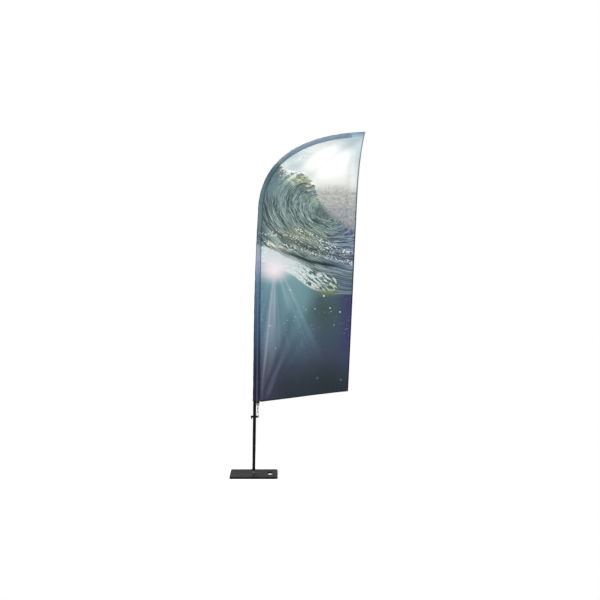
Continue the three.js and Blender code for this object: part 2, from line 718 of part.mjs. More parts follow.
const TAB_TOP = SLEEVE_MOUTH - PANEL_CORNER_DROP - FACE_GAP;
const EYELET_HEIGHT = TAB_TOP - TAB_DROP + TAB_TIP_WIDTH / 2;
const HOOK_PIN_HEIGHT = COLLAR_HEIGHT + HOOK_PIN_RISE;
const HOOK_FOOT = HOOK_PIN_HEIGHT - HOOK_PIN_DIAMETER / 2 - FACE_GAP - HOOK_WIRE / 2;
const HOOK_HEAD = HOOK_FOOT + HOOK_HEIGHT;
const CORD_FOOT = HOOK_HEAD - HOOK_WIRE / 2 - FACE_GAP - CORD_DIAMETER / 2;
const CORD_HEAD = EYELET_HEIGHT;
const CRIMP_HEIGHT = (CORD_FOOT + CORD_HEAD) / 2;
const EYELET_FACE = TAB_THICKNESS / 2 + FACE_GAP + EYELET_FLANGE;
const CORD_SPREAD = EYELET_FACE + 2 * FACE_GAP + CORD_DIAMETER / 2; // beside the eyelet

// Points of an arc about (u, v), in degrees; place turns each pair into a point in space.
function arcPoints(place, u, v, radius, from, to, count) {
  return Array.from({ length: count + 1 }, (_, i) => {
    const angle = THREE.MathUtils.degToRad(THREE.MathUtils.lerp(from, to, i / count));
    return place(u + radius * Math.cos(angle), v + radius * Math.sin(angle));
  });
}

// The webbing tab sewn into the flag's lower corner, with a hole for its eyelet.
function cornerTab() {
  const radius = TAB_TIP_WIDTH / 2;
  const shape = new THREE.Shape();
  shape.moveTo(TETHER_OFFSET - TAB_TOP_WIDTH / 2 + TAB_POLE_TRIM, TAB_TOP);
  shape.lineTo(TETHER_OFFSET - radius, EYELET_HEIGHT);
  shape.absarc(TETHER_OFFSET, EYELET_HEIGHT, radius, Math.PI, 2 * Math.PI);
  shape.lineTo(TETHER_OFFSET + TAB_TOP_WIDTH / 2, TAB_TOP);
  const hole = new THREE.Path();
  const bore = EYELET_HOLE / 2 + EYELET_BARREL_WALL + RUNNING_GAP;
  hole.absarc(TETHER_OFFSET, EYELET_HEIGHT, bore, 0, 2 * Math.PI);
  shape.holes.push(hole);
  return upright(shape, TAB_THICKNESS);
}

function tabEyelet() {
  const hole = EYELET_HOLE / 2;
  const barrel = hole + EYELET_BARREL_WALL;
  const face = TAB_THICKNESS / 2 + FACE_GAP;
  const rim = EYELET_FLANGE_DIAMETER / 2;
  const ring = turnedRing(
    [
      [hole, -face - EYELET_FLANGE],
      [rim, -face - EYELET_FLANGE],
      [rim, -face],
      [barrel, -face],
      [barrel, face],
      [rim, face],
      [rim, face + EYELET_FLANGE],
      [hole, face + EYELET_FLANGE],
    ],
    SMALL_ROUND,
  );
  return ring.rotateX(Math.PI / 2).translate(TETHER_OFFSET, 0, EYELET_HEIGHT);
}

// One elastic loop from the eyelet to the hook, whose two ends meet inside the crimp.
function bungeeCord() {
  const at = (y, z) => new THREE.Vector3(TETHER_OFFSET, y, z);
  const high = CRIMP_HEIGHT + CRIMP_LENGTH / 2;
  const low = CRIMP_HEIGHT - CRIMP_LENGTH / 2;
  const route = [
    at(-CORD_PINCH, CRIMP_HEIGHT + CORD_END_GAP),
    at(-CORD_PINCH, high),
    ...arcPoints(at, 0, CORD_HEAD - CORD_SPREAD, CORD_SPREAD, 180, 0, CORNER_STEPS),
    at(CORD_PINCH, high),
    at(CORD_PINCH, low),
    ...arcPoints(at, 0, CORD_FOOT + CORD_SPREAD, CORD_SPREAD, 0, -180, CORNER_STEPS),
    at(-CORD_PINCH, low),
    at(-CORD_PINCH, CRIMP_HEIGHT - CORD_END_GAP),
  ];
  const path = new THREE.CatmullRomCurve3(route, false, "centripetal");
  return swept(path, CORD_DIAMETER, CORD_STEPS, WIRE_SIDES);
}

// The metal band that pinches the cord's two strands together.
function cordCrimp() {
  const oval = (radius) => {
    const path = new THREE.Shape();
    path.moveTo(radius, -CORD_PINCH);
    path.absarc(0, CORD_PINCH, radius, 0, Math.PI);
    path.absarc(0, -CORD_PINCH, radius, Math.PI, 2 * Math.PI);
    return path;
  };
  const inner = CORD_DIAMETER / 2 + FACE_GAP;
  const shape = oval(inner + CRIMP_WALL);
  shape.holes.push(oval(inner));
  const half = CRIMP_LENGTH / 2;
  const band = raised(shape, CRIMP_HEIGHT - half, CRIMP_HEIGHT + half, CORNER_STEPS);
  return band.translate(TETHER_OFFSET, 0, 0);
}

// The open wire of the snap hook: from the hinge round the foot, up the spine and over to the nose.
const GATE_X = TETHER_OFFSET + HOOK_WIDTH / 2;
const GATE_FOOT = HOOK_FOOT + HOOK_WIDTH / 2 + HINGE_SEAT;
const GATE_HEAD = GATE_FOOT + GATE_LENGTH;

function hookWire() {
  const bow = HOOK_WIDTH / 2;
  const spine = TETHER_OFFSET - bow;
  const at = (x, z) => new THREE.Vector3(x, 0, z);
  const foot = HOOK_FOOT + bow;
  const head = HOOK_HEAD - bow;
  const route = [
    at(GATE_X, GATE_FOOT - WIRE_END_DROP),
    ...arcPoints(at, TETHER_OFFSET, foot, bow, 0, -180, CORNER_STEPS),
    at(spine, (foot + head) / 2),
    ...arcPoints(at, TETHER_OFFSET, head, bow, 180, 0, CORNER_STEPS),
    at(GATE_X, GATE_HEAD + FACE_GAP),
  ];
  const path = new THREE.CatmullRomCurve3(route, false, "centripetal");
  return swept(path, HOOK_WIRE, HOOK_STEPS, WIRE_SIDES);
}

// Two cheeks on the wire's end carry the gate's rivet.
function snapHook() {
  const inner = GATE_WIDTH / 2 + FACE_GAP;
  const outer = HINGE_HALF;
  const [left, right] = [GATE_X - HINGE_CHEEK_WIDTH / 2, GATE_X + HINGE_CHEEK_WIDTH / 2];
  const low = GATE_FOOT - HINGE_SEAT;
  const seat = block(left, right, -outer, outer, low, GATE_FOOT - HINGE_CHEEK_RISE);
  const cheek = (y0, y1) => block(left, right, y0, y1, low, GATE_FOOT + HINGE_CHEEK_RISE);
  const body = join(hookWire(), seat, cheek(-outer, -inner), cheek(inner, outer));
  const hole = GATE_RIVET_DIAMETER + 2 * RUNNING_GAP;
  const past = outer + CUT_MARGIN;
  return cut(body, crossBar(hole, GATE_X, GATE_FOOT, -past, past, TINY_ROUND));
}

function hookGate() {
  const radius = GATE_WIDTH / 2;
  const shape = new THREE.Shape();
  shape.moveTo(GATE_X + radius, GATE_HEAD - radius);
  shape.absarc(GATE_X, GATE_HEAD - radius, radius, 0, Math.PI);
  shape.absarc(GATE_X, GATE_FOOT, radius, Math.PI, 2 * Math.PI);
  const hole = new THREE.Path();
  hole.absarc(GATE_X, GATE_FOOT, GATE_RIVET_DIAMETER / 2 + RUNNING_GAP, 0, 2 * Math.PI);
  shape.holes.push(hole);
  return upright(shape, GATE_WIDTH, 0, GATE_CORNER_STEPS);
}

function gateRivet() {
  const face = HINGE_HALF + FACE_GAP;
  const end = face + GATE_RIVET_HEAD;
  const shank = crossBar(GATE_RIVET_DIAMETER, GATE_X, GATE_FOOT, -end, end, TINY_ROUND);
  const head = (y0, y1) =>
    crossBar(2 * GATE_RIVET_DIAMETER, GATE_X, GATE_FOOT, y0, y1, TINY_ROUND);
  return join(shank, head(-end, -face), head(face, end));
}

// The collar: a split ring with clamp ears on one side and a clevis for the hook on the other.
function tensionCollar() {
  const low = COLLAR_HEIGHT - COLLAR_WIDTH / 2;
  const high = COLLAR_HEIGHT + COLLAR_WIDTH / 2;
  const inside = COLLAR_BORE / 2 + COLLAR_WALL / 2;
  const clampReach = CLAMP_SCREW_OFFSET + CLAMP_MARGIN;
  const ears = block(-clampReach, -inside, -EAR_FACE, EAR_FACE, low, high);
  const clevisReach = TETHER_OFFSET + CLEVIS_MARGIN;
  const plateOut = CLEVIS_HALF_GAP + CLEVIS_PLATE;
  const clevis = block(0, clevisReach, -plateOut, plateOut, low, high);
  const whole = join(bar(COLLAR_OUTER, low, high), ears, clevis);
  const past = 2 * clevisReach;
  const under = low - CUT_MARGIN;
  const over = high + CUT_MARGIN;
  const slot = block(COLLAR_OUTER / 2, past, -CLEVIS_HALF_GAP, CLEVIS_HALF_GAP, under, over);
  const split = block(-past, 0, -CLAMP_SPLIT / 2, CLAMP_SPLIT / 2, under, over);
  const screw = CLAMP_SCREW_DIAMETER + 2 * RUNNING_GAP;
  const pin = HOOK_PIN_DIAMETER + 2 * RUNNING_GAP;
  return cut(
    whole,
    bar(COLLAR_BORE, under, over),
    slot,
    split,
    crossBar(screw, -CLAMP_SCREW_OFFSET, COLLAR_HEIGHT, -past, past),
    crossBar(pin, TETHER_OFFSET, HOOK_PIN_HEIGHT, -past, past),
  );
}

function hookPin() {
  const face = CLEVIS_HALF_GAP + CLEVIS_PLATE + FACE_GAP;
  const end = face + HOOK_PIN_HEAD_THICKNESS;
  const shank = crossBar(HOOK_PIN_DIAMETER, TETHER_OFFSET, HOOK_PIN_HEIGHT, -end, end);
  const head = (y0, y1) => crossBar(HOOK_PIN_HEAD, TETHER_OFFSET, HOOK_PIN_HEIGHT, y0, y1);
  return join(shank, head(-end, -face), head(face, end));
}

// A lever moulded on the head of its clamp screw, hanging down when it is tight.
function clampLever() {
  const x = -CLAMP_SCREW_OFFSET;
  const boss = LEVER_BOSS_DIAMETER / 2;
  const tip = LEVER_TIP_DIAMETER / 2;
  const back = -EAR_FACE - FACE_GAP;
  const tipZ = COLLAR_HEIGHT - LEVER_ARM + tip;
  const taper = Math.asin((boss - tip) / (COLLAR_HEIGHT - tipZ));
  const shape = new THREE.Shape();
  shape.absarc(x, COLLAR_HEIGHT, boss, -taper, Math.PI + taper);
  shape.absarc(x, tipZ, tip, Math.PI + taper, 2 * Math.PI - taper);
  return upright(shape, LEVER_THICKNESS, back - LEVER_THICKNESS / 2, LEVER_CORNER_STEPS);
}

function clampScrew() {
  const x = -CLAMP_SCREW_OFFSET;
  const front = -EAR_FACE;
  const end = EAR_FACE + FACE_GAP + CLAMP_NUT_HEIGHT + CLAMP_SCREW_TAIL;
  return crossBar(CLAMP_SCREW_DIAMETER, x, COLLAR_HEIGHT, front, end);
}

function clampNut() {
  const nut = hexagon(CLAMP_NUT_FLATS, 0, CLAMP_NUT_HEIGHT);
  const bore = CLAMP_SCREW_DIAMETER + 2 * RUNNING_GAP;
  const hole = bar(bore, -CUT_MARGIN, CLAMP_NUT_HEIGHT + CUT_MARGIN, SMALL_ROUND);
  const ring = cut(nut, hole).rotateX(-Math.PI / 2);
  return ring.translate(-CLAMP_SCREW_OFFSET, EAR_FACE + FACE_GAP, COLLAR_HEIGHT);
}

// ---- Finishes -------------------------------------------------------------------------------------

function finish(color, roughness, metalness) {
  return () => new THREE.MeshStandardMaterial({ color, roughness, metalness });
}

const STEEL_PAINT = finish(0x4a4a4a, 0.4, 0.3);
const RUBBER = finish(0x161616, 0.9, 0);
const ZINC = finish(0xb9bcc0, 0.35, 1);
const BLACK_ALUMINIUM = finish(0x101012, 0.35, 0.6);
const BLACK_PLASTIC = finish(0x141414, 0.5, 0);
const WHITE_PLASTIC = finish(0xd8d8d2, 0.5, 0);
const FIBREGLASS = finish(0x1a1a1a, 0.5, 0);
const SLEEVE_CLOTH = finish(0x3c5a80, 0.8, 0);
const PRINTED_CLOTH = finish(0x4f7078, 0.8, 0);
const DARK_TAPE = finish(0x15171c, 0.85, 0);
const ELASTIC = finish(0x18181a, 0.8, 0);

// ---- Assembly -------------------------------------------------------------------------------------

function piece(parent, name, geometry, material) {
  const mesh = new THREE.Mesh(geometry, material());
  mesh.name = name;
  parent.add(mesh);
}

function addBase(parent) {
  const bore = SPINDLE_DIAMETER + 2 * RUNNING_GAP;
  const washer = tube(WASHER_DIAMETER, bore, WASHER_BOTTOM, WASHER_BOTTOM + WASHER_THICKNESS);
  const washerTop = TOP_WASHER_BOTTOM + TOP_WASHER_THICKNESS;
  const topWasher = tube(TOP_WASHER_DIAMETER, bore, TOP_WASHER_BOTTOM, washerTop);
  piece(parent, "floor_mat", floorMat(), RUBBER);
  piece(parent, "base_plate", basePlate(), STEEL_PAINT);
  piece(parent, "spindle_bolt", spindle(), ZINC);
  piece(parent, "spindle_washer", washer, ZINC);
  piece(parent, "spindle_nut", spindleNut(), ZINC);
  piece(parent, "top_washer", topWasher, ZINC);
  piece(parent, "retaining_ring", retainingRing(), ZINC);
}

function addRotor(parent) {
  piece(parent, "rotor_lower_bush", bearingBush(BUSH_BOTTOM, true), WHITE_PLASTIC);
  piece(parent, "rotor_sleeve", rotor(), ZINC);
  piece(parent, "rotor_upper_bush", bearingBush(ROTOR_TOP + FACE_GAP, false), WHITE_PLASTIC);
}

function addPole(parent) {
  const lowerBush = jointBush(LOWER_END, POLE_DIAMETER, POLE_WALL, MIDDLE_DIAMETER);
  const upperBush = jointBush(MIDDLE_END, MIDDLE_DIAMETER, MIDDLE_WALL, TIP_ROOT_DIAMETER);
  piece(parent, "pole_lower_section", lowerPole(), BLACK_ALUMINIUM);
  piece(parent, "pole_lower_joint_bush", lowerBush, BLACK_PLASTIC);
  piece(parent, "pole_middle_section", middlePole(), BLACK_ALUMINIUM);
  piece(parent, "pole_upper_joint_bush", upperBush, BLACK_PLASTIC);
  piece(parent, "pole_tip_rod", tipRod(), FIBREGLASS);
  piece(parent, "pole_tip_cap", tipCap(), BLACK_PLASTIC);
}

function addFlag(parent) {
  piece(parent, "pole_sleeve", poleSleeve(), SLEEVE_CLOTH);
  piece(parent, "flag_panel", flagPanel(), PRINTED_CLOTH);
  piece(parent, "sleeve_tip_pocket", tipPocket(), SLEEVE_CLOTH);
  piece(parent, "bottom_edge_binding", bottomBinding(), DARK_TAPE);
  piece(parent, "free_edge_binding", bindingStrip(freeEdge()), DARK_TAPE);
  piece(parent, "corner_tab", cornerTab(), DARK_TAPE);
  piece(parent, "tab_eyelet", tabEyelet(), ZINC);
  piece(parent, "bungee_cord", bungeeCord(), ELASTIC);
  piece(parent, "bungee_crimp", cordCrimp(), BLACK_ALUMINIUM);
}

function addCollar(parent) {
  piece(parent, "tension_collar", tensionCollar(), BLACK_PLASTIC);
  piece(parent, "clamp_lever", clampLever(), BLACK_PLASTIC);
  piece(parent, "clamp_screw", clampScrew(), ZINC);
  piece(parent, "clamp_nut", clampNut(), ZINC);
  piece(parent, "hook_pin", hookPin(), ZINC);
  piece(parent, "snap_hook", snapHook(), ZINC);
  piece(parent, "hook_gate", hookGate(), ZINC);
  piece(parent, "gate_rivet", gateRivet(), ZINC);
}

const featherFlag = new THREE.Group();
addBase(featherFlag);
addRotor(featherFlag);

// The pole's frame leans towards the flag about the middle of the rotor.
const leaning = new THREE.Group();
leaning.rotation.y = LEAN;
leaning.position.set(-Math.sin(LEAN) * ROTOR_MIDDLE, 0, (1 - Math.cos(LEAN)) * ROTOR_MIDDLE);
addPole(leaning);
addFlag(leaning);
addCollar(leaning);
featherFlag.add(leaning);

export default featherFlag;
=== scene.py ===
import json
import logging
import math
from dataclasses import dataclass
from enum import Enum
from typing import Sequence

import bmesh
import bpy
import numpy as np
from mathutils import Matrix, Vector


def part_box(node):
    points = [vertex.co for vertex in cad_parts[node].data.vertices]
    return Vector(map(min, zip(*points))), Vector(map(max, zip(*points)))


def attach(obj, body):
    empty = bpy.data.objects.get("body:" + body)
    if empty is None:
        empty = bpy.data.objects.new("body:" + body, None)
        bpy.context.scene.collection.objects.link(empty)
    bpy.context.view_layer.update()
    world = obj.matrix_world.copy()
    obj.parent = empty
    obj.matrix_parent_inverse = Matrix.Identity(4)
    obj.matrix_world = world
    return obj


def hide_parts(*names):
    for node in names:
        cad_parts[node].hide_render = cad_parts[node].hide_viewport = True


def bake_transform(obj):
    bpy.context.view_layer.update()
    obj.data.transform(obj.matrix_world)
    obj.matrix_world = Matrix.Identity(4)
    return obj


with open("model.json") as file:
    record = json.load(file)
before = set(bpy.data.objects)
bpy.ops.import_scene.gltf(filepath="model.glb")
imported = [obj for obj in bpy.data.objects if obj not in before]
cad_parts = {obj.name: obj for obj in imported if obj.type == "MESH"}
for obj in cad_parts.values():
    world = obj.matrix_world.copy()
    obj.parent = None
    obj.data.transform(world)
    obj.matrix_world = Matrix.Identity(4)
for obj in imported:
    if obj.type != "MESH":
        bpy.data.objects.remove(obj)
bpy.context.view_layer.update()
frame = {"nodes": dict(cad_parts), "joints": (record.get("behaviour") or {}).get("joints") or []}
log = logging.getLogger("feather_flag")

MM = 0.001
WELD = 1e-7
CAD_WELD = 1e-6
ACROSS = "across_the_sleeve"
Point = tuple[float, float, float]
Colour = tuple[float, float, float, float]
Line = tuple[tuple[float, float], ...]

# How far two faces turn at an edge, in degrees.
FLAT_TURN = 0.4
CORNER_TURN = 32.0
ROUNDED_TURN = 40.0
SHARP_TURN = 50.0


class Body(Enum):
    """The bodies that pieces ride on."""

    BASE = "base"
    ROTOR = "rotor"
    POLE = "pole"
    COLLAR = "collar"
    LEVER = "lever"
    GATE = "gate"


def dye(red: int, green: int, blue: int) -> Colour:
    """Turns a colour as it is seen on a screen into the light it gives.

    Args:
        red, green, blue: from 0 to 255.

    Returns:
        The linear colour with a full alpha.
    """
    shares = (value / 255.0 for value in (red, green, blue))
    linear = [s / 12.92 if s <= 0.04045 else ((s + 0.055) / 1.055) ** 2.4 for s in shares]
    return (linear[0], linear[1], linear[2], 1.0)


def ease(low: float, high: float, value: np.ndarray | float) -> np.ndarray | float:
    """Rises smoothly from 0 to 1 as value goes from low to high."""
    share = np.clip((np.asarray(value, float) - low) / (high - low), 0.0, 1.0)
    return share * share * (3.0 - 2.0 * share)


def hump(value: np.ndarray | float, middle: float, half: float) -> np.ndarray | float:
    """A smooth bump of height 1 at middle that has sunk to a third at half."""
    return np.exp(-(((np.asarray(value, float) - middle) / half) ** 2))


def ripple(along: np.ndarray, length: float, phase: np.ndarray | float = 0.0) -> np.ndarray:
    """A wave of height 1, whose crests are that length apart."""
    return np.sin(2 * math.pi * along / length + phase)


# ---- Shader expressions ---------------------------------------------------------------------------


class Signal:
    """A number that a node gives, which takes part in arithmetic."""

    def __init__(self, recipe: "Recipe", socket: bpy.types.NodeSocket) -> None:
        """Wraps a socket of a recipe's tree."""
        self.recipe = recipe
        self.socket = socket

    def __add__(self, other: "Signal | float") -> "Signal":
        """self + other."""
        return self.recipe.maths("ADD", self, other)

    __radd__ = __add__

    def __sub__(self, other: "Signal | float") -> "Signal":
        """self - other."""
        return self.recipe.maths("SUBTRACT", self, other)

    def __rsub__(self, other: float) -> "Signal":
        """other - self."""
        return self.recipe.maths("SUBTRACT", other, self)

    def __mul__(self, other: "Signal | float") -> "Signal":
        """self * other."""
        return self.recipe.maths("MULTIPLY", self, other)

    __rmul__ = __mul__

    def __truediv__(self, other: "Signal | float") -> "Signal":
        """self / other."""
        return self.recipe.maths("DIVIDE", self, other)

    def __rtruediv__(self, other: float) -> "Signal":
        """other / self."""
        return self.recipe.maths("DIVIDE", other, self)


Value = Signal | bpy.types.NodeSocket | float | Sequence[float]


class Recipe:
    """Builds one material: its nodes, and the values and links of their sockets."""

    def __init__(self, name: str) -> None:
        """Starts a material of that name with a shader and an output."""
        self.material = bpy.data.materials.new(name)
        self.material.use_nodes = True
        self.tree = self.material.node_tree
        self.tree.nodes.clear()
        self.shader = self.node("ShaderNodeBsdfPrincipled")
        self.output = self.node("ShaderNodeOutputMaterial", sockets={"Surface": self.shader.outputs[0]})
        self.place = self.node("ShaderNodeTexCoord").outputs["Object"]
        parts = self.node("ShaderNodeSeparateXYZ", sockets={0: self.place})
        self.x, self.y, self.z = (Signal(self, socket) for socket in parts.outputs)

    def node(self, kind: str, settings: dict | None = None, sockets: dict | None = None) -> bpy.types.Node:
        """Adds any node.

        Args:
            kind: the node's type name.
            settings: its attributes; "stops" are a ramp's places and colours, and "points" a
                float curve's places and heights.
            sockets: values or links by socket name or number.

        Returns:
            The node.
        """
        made = self.tree.nodes.new(kind)
        for key, value in (settings or {}).items():
            if key == "stops":
                ramp = made.color_ramp
                while len(ramp.elements) < len(value):
                    ramp.elements.new(1.0)
                for element, (place, colour) in zip(ramp.elements, value):
                    element.position, element.color = place, colour
            elif key == "points":
                line = made.mapping.curves[0].points
                while len(line) < len(value):
                    line.new(1.0, 1.0)
                for point, place in zip(line, value):
                    point.location = place
                made.mapping.update()
            else:
                setattr(made, key, value)
        for key, value in (sockets or {}).items():
            self.feed(made.inputs[key], value)
        return made

    def feed(self, socket: bpy.types.NodeSocket, value: Value) -> None:
        """Links a value to a socket, or sets it there when it is a constant."""
        if isinstance(value, Signal):
            value = value.socket
        if isinstance(value, bpy.types.NodeSocket):
            self.tree.links.new(value, socket)
        else:
            socket.default_value = value

    def maths(self, operation: str, first: Value, second: Value = 0.0) -> Signal:
        """A Math node as a signal."""
        made = self.node("ShaderNodeMath", {"operation": operation}, {0: first, 1: second})
        return Signal(self, made.outputs[0])

    def fade(self, value: Value, low: float, high: float) -> Signal:
        """Rises smoothly from 0 to 1 as value goes from low to high, which may be the lower number."""
        settings = {"interpolation_type": "SMOOTHSTEP"}
        made = self.node("ShaderNodeMapRange", settings, {0: value, 1: low, 2: high})
        return Signal(self, made.outputs[0])

    def join(self, x: Value, y: Value, z: Value) -> bpy.types.NodeSocket:
        """Three numbers as a vector."""
        return self.node("ShaderNodeCombineXYZ", sockets={0: x, 1: y, 2: z}).outputs[0]

    def mix(self, share: Value, first: Value, second: Value) -> bpy.types.NodeSocket:
        """Mixes two colours; share is how much of the second there is."""
        settings = {"data_type": "RGBA", "clamp_factor": True}
        made = self.node("ShaderNodeMix", settings, {0: share, 6: first, 7: second})
        return made.outputs[2]

    def noise(self, where: Value, scale: float, detail: float = 4.0, rough: float = 0.55) -> Signal:
        """Cloudy noise from about 0.25 to 0.75."""
        sockets = {"Vector": where, "Scale": scale, "Detail": detail, "Roughness": rough}
        return Signal(self, self.node("ShaderNodeTexNoise", sockets=sockets).outputs[0])

    def cells(self, where: Value, scale: float) -> Signal:
        """Distance to the nearest of randomly scattered points."""
        made = self.node("ShaderNodeTexVoronoi", sockets={"Vector": where, "Scale": scale})
        return Signal(self, made.outputs["Distance"])

    def gap(self, where: Value, to: Point) -> Signal:
        """Distance between two places."""
        made = self.node("ShaderNodeVectorMath", {"operation": "DISTANCE"}, {0: where, 1: to})
        return Signal(self, made.outputs["Value"])

    def curve(self, value: Signal, points: Sequence[tuple[float, float]]) -> Signal:
        """A smooth line through points, read at value.

        Args:
            value: the place along the line.
            points: places, rising, and the heights there.

        Returns:
            The height at value.
        """
        first, last = points[0][0], points[-1][0]
        heights = [height for _, height in points]
        low, high = min(heights), max(heights)
        shares = [((p - first) / (last - first), (h - low) / (high - low)) for p, h in points]
        share = (value - first) / (last - first)
        made = self.node("ShaderNodeFloatCurve", {"points": shares}, {"Value": share})
        return Signal(self, made.outputs[0]) * (high - low) + low

    def ramp(self, value: Value, stops: Sequence[tuple[float, Colour]]) -> bpy.types.NodeSocket:
        """A colour ramp over values that need not run from 0 to 1."""
        first, last = stops[0][0], stops[-1][0]
        shares = [((place - first) / (last - first), colour) for place, colour in stops]
        share = self.node("ShaderNodeMapRange", sockets={0: value, 1: first, 2: last}).outputs[0]
        return self.node("ShaderNodeValToRGB", {"stops": shares}, {0: share}).outputs[0]

    def finish(self, **sockets: Value) -> None:
        """Feeds the shader's sockets, whose names are written with underscores."""
        for name, value in sockets.items():
            self.feed(self.shader.inputs[name.replace("_", " ")], value)

    def bump(self, height: Value, depth: float, strength: float = 1.0) -> None:
        """Gives the surface a fine relief of that depth in metres."""
        sockets = {"Height": height, "Distance": depth, "Strength": strength}
        self.finish(Normal=self.node("ShaderNodeBump", sockets=sockets).outputs[0])


# ---- Finishes -------------------------------------------------------------------------------------


@dataclass(frozen=True)
class Finish:
    """A surface finish, made as a material the first time that a piece takes it."""

    name: str

    def material(self) -> bpy.types.Material:
        """Returns the finish's material."""
        known = bpy.data.materials.get(self.name)
        if known is not None:
            return known
        recipe = Recipe(self.name)
        self.mix(recipe)
        return recipe.material

    def mix(self, r: Recipe) -> None:
        """Sets up the recipe; each finish has its own."""
        raise NotImplementedError


@dataclass(frozen=True)
class PowderCoat(Finish):
    """Baked powder paint with a fine orange-peel skin and a little dust."""

    colour: Colour = dye(31, 30, 30)
    dust: Colour = dye(60, 58, 56)
    patch: float = 18.0
    speck: float = 900.0
    peel: float = 620.0
    peel_depth: float = 0.12 * MM

    def mix(self, r: Recipe) -> None:
        """Mottles the paint and gives it its skin."""
        patches = r.noise(r.place, self.patch, 5.0)
        specks = r.noise(r.place, self.speck, 2.0)
        dusty = r.fade(patches + specks * 0.25, 0.62, 0.86)
        r.finish(
            Base_Color=r.mix(dusty * 0.35, self.colour, self.dust),
            Roughness=r.fade(patches, 0.2, 0.9) * 0.22 + 0.26,
            IOR=1.09,
        )
        r.bump(r.noise(r.place, self.peel, 3.0), self.peel_depth, 0.5)


@dataclass(frozen=True)
class Plated(Finish):
    """Bright zinc plating with a faint spangle."""

    light: Colour = dye(222, 224, 226)
    dark: Colour = dye(168, 172, 176)
    spangle: float = 260.0
    scuff: float = 1500.0
    scuff_depth: float = 0.03 * MM

    def mix(self, r: Recipe) -> None:
        """Clouds the plating and scuffs it."""
        cloud = r.noise(r.place, self.spangle, 5.0)
        scuff = r.noise(r.place, self.scuff, 3.0)
        r.finish(
            Base_Color=r.mix(r.fade(cloud, 0.35, 0.68), self.light, self.dark),
            Metallic=1.0,
            Roughness=r.fade(cloud + scuff * 0.4, 0.45, 0.95) * 0.2 + 0.2,
        )
        r.bump(scuff, self.scuff_depth, 0.4)


@dataclass(frozen=True)
class Anodised(Finish):
    """Black anodised aluminium with drawing lines along the tube."""

    colour: Colour = dye(9, 9, 10)
    worn: Colour = dye(26, 26, 28)
    across: float = 60.0
    along: float = 1.6
    rub: float = 70.0
    line_depth: float = 0.02 * MM

    def mix(self, r: Recipe) -> None:
        """Draws the lines and rubs the coat a little."""
        around = r.join(r.x * self.across, r.y * self.across, r.z * self.along)
        lines = r.noise(around, 22.0, 5.0)
        rubbed = r.fade(r.noise(r.place, self.rub, 6.0), 0.6, 0.78)
        r.finish(
            Base_Color=r.mix(rubbed * lines, self.colour, self.worn),
            Roughness=lines * 0.22 + 0.2,
            IOR=1.22,
        )
        r.bump(lines, self.line_depth, 0.35)


@dataclass(frozen=True)
class Moulded(Finish):
    """Moulded plastic with a fine spark-eroded grain."""

    colour: Colour = dye(13, 13, 14)
    scuffed: Colour = dye(28, 28, 29)
    roughness: float = 0.42
    grain: float = 2600.0
    scuff: float = 190.0
    grain_depth: float = 0.05 * MM

    def mix(self, r: Recipe) -> None:
        """Grains the plastic and scuffs it here and there."""
        grain = r.noise(r.place, self.grain, 3.0)
        scuff = r.fade(r.noise(r.place, self.scuff, 5.0), 0.55, 0.76)
        r.finish(
            Base_Color=r.mix(scuff * 0.6, self.colour, self.scuffed),
            Roughness=grain * 0.16 + self.roughness,
            IOR=1.25,
        )
        r.bump(grain, self.grain_depth, 0.5)


@dataclass(frozen=True)
class Rubber(Finish):
    """Matt black rubber with a pebbled skin."""

    colour: Colour = dye(24, 24, 24)
    dust: Colour = dye(58, 57, 54)
    pebble: float = 700.0
    patch: float = 45.0
    pebble_depth: float = 0.2 * MM

    def mix(self, r: Recipe) -> None:
        """Pebbles the rubber and dusts it."""
        pebbles = r.cells(r.place, self.pebble)
        dusty = r.fade(r.noise(r.place, self.patch, 6.0), 0.5, 0.75)
        r.finish(
            Base_Color=r.mix(dusty * 0.5, self.colour, self.dust),
            Roughness=dusty * 0.15 + 0.75,
            IOR=1.3,
        )
        r.bump(pebbles, self.pebble_depth, 0.6)


@dataclass(frozen=True)
class GlassFibre(Finish):
    """Black pultruded glass fibre, with its fibres showing."""

    colour: Colour = dye(20, 21, 22)
    fibre: Colour = dye(62, 64, 60)
    bundle: float = 420.0
    fibre_depth: float = 0.04 * MM

    def mix(self, r: Recipe) -> None:
        """Runs the fibres through the resin."""
        fibres = r.noise(r.place, self.bundle, 6.0)
        r.finish(
            Base_Color=r.mix(r.fade(fibres, 0.55, 0.75) * 0.5, self.colour, self.fibre),
            Roughness=fibres * 0.2 + 0.3,
        )
        r.bump(fibres, self.fibre_depth, 0.4)


@dataclass(frozen=True)
class Webbing(Finish):
    """Woven tape or webbing, with ribs across it."""

    colour: Colour = dye(25, 27, 34)
    lit: Colour = dye(56, 59, 70)
    rib: float = 1.1 * MM
    fuzz: float = 1400.0
    rib_depth: float = 0.2 * MM

    def mix(self, r: Recipe) -> None:
        """Weaves ribs and a twill that runs over them."""
        turn = 2.0 * math.pi / self.rib
        rib = r.maths("SINE", (r.x + r.z) * turn)
        yarn = r.maths("SINE", (r.x - r.z) * (turn * 0.7))
        fuzz = r.noise(r.place, self.fuzz, 3.0)
        weave = rib * yarn * 0.5 + fuzz
        worn = r.fade(r.noise(r.place, 60.0, 5.0), 0.45, 0.75)
        r.finish(
            Base_Color=r.mix(r.fade(weave, 0.2, 1.1) * 0.6 + worn * 0.2, self.colour, self.lit),
            Roughness=fuzz * 0.2 + 0.72,
            Sheen_Weight=0.15,
            IOR=1.3,
        )
        r.bump(weave, self.rib_depth, 0.7)


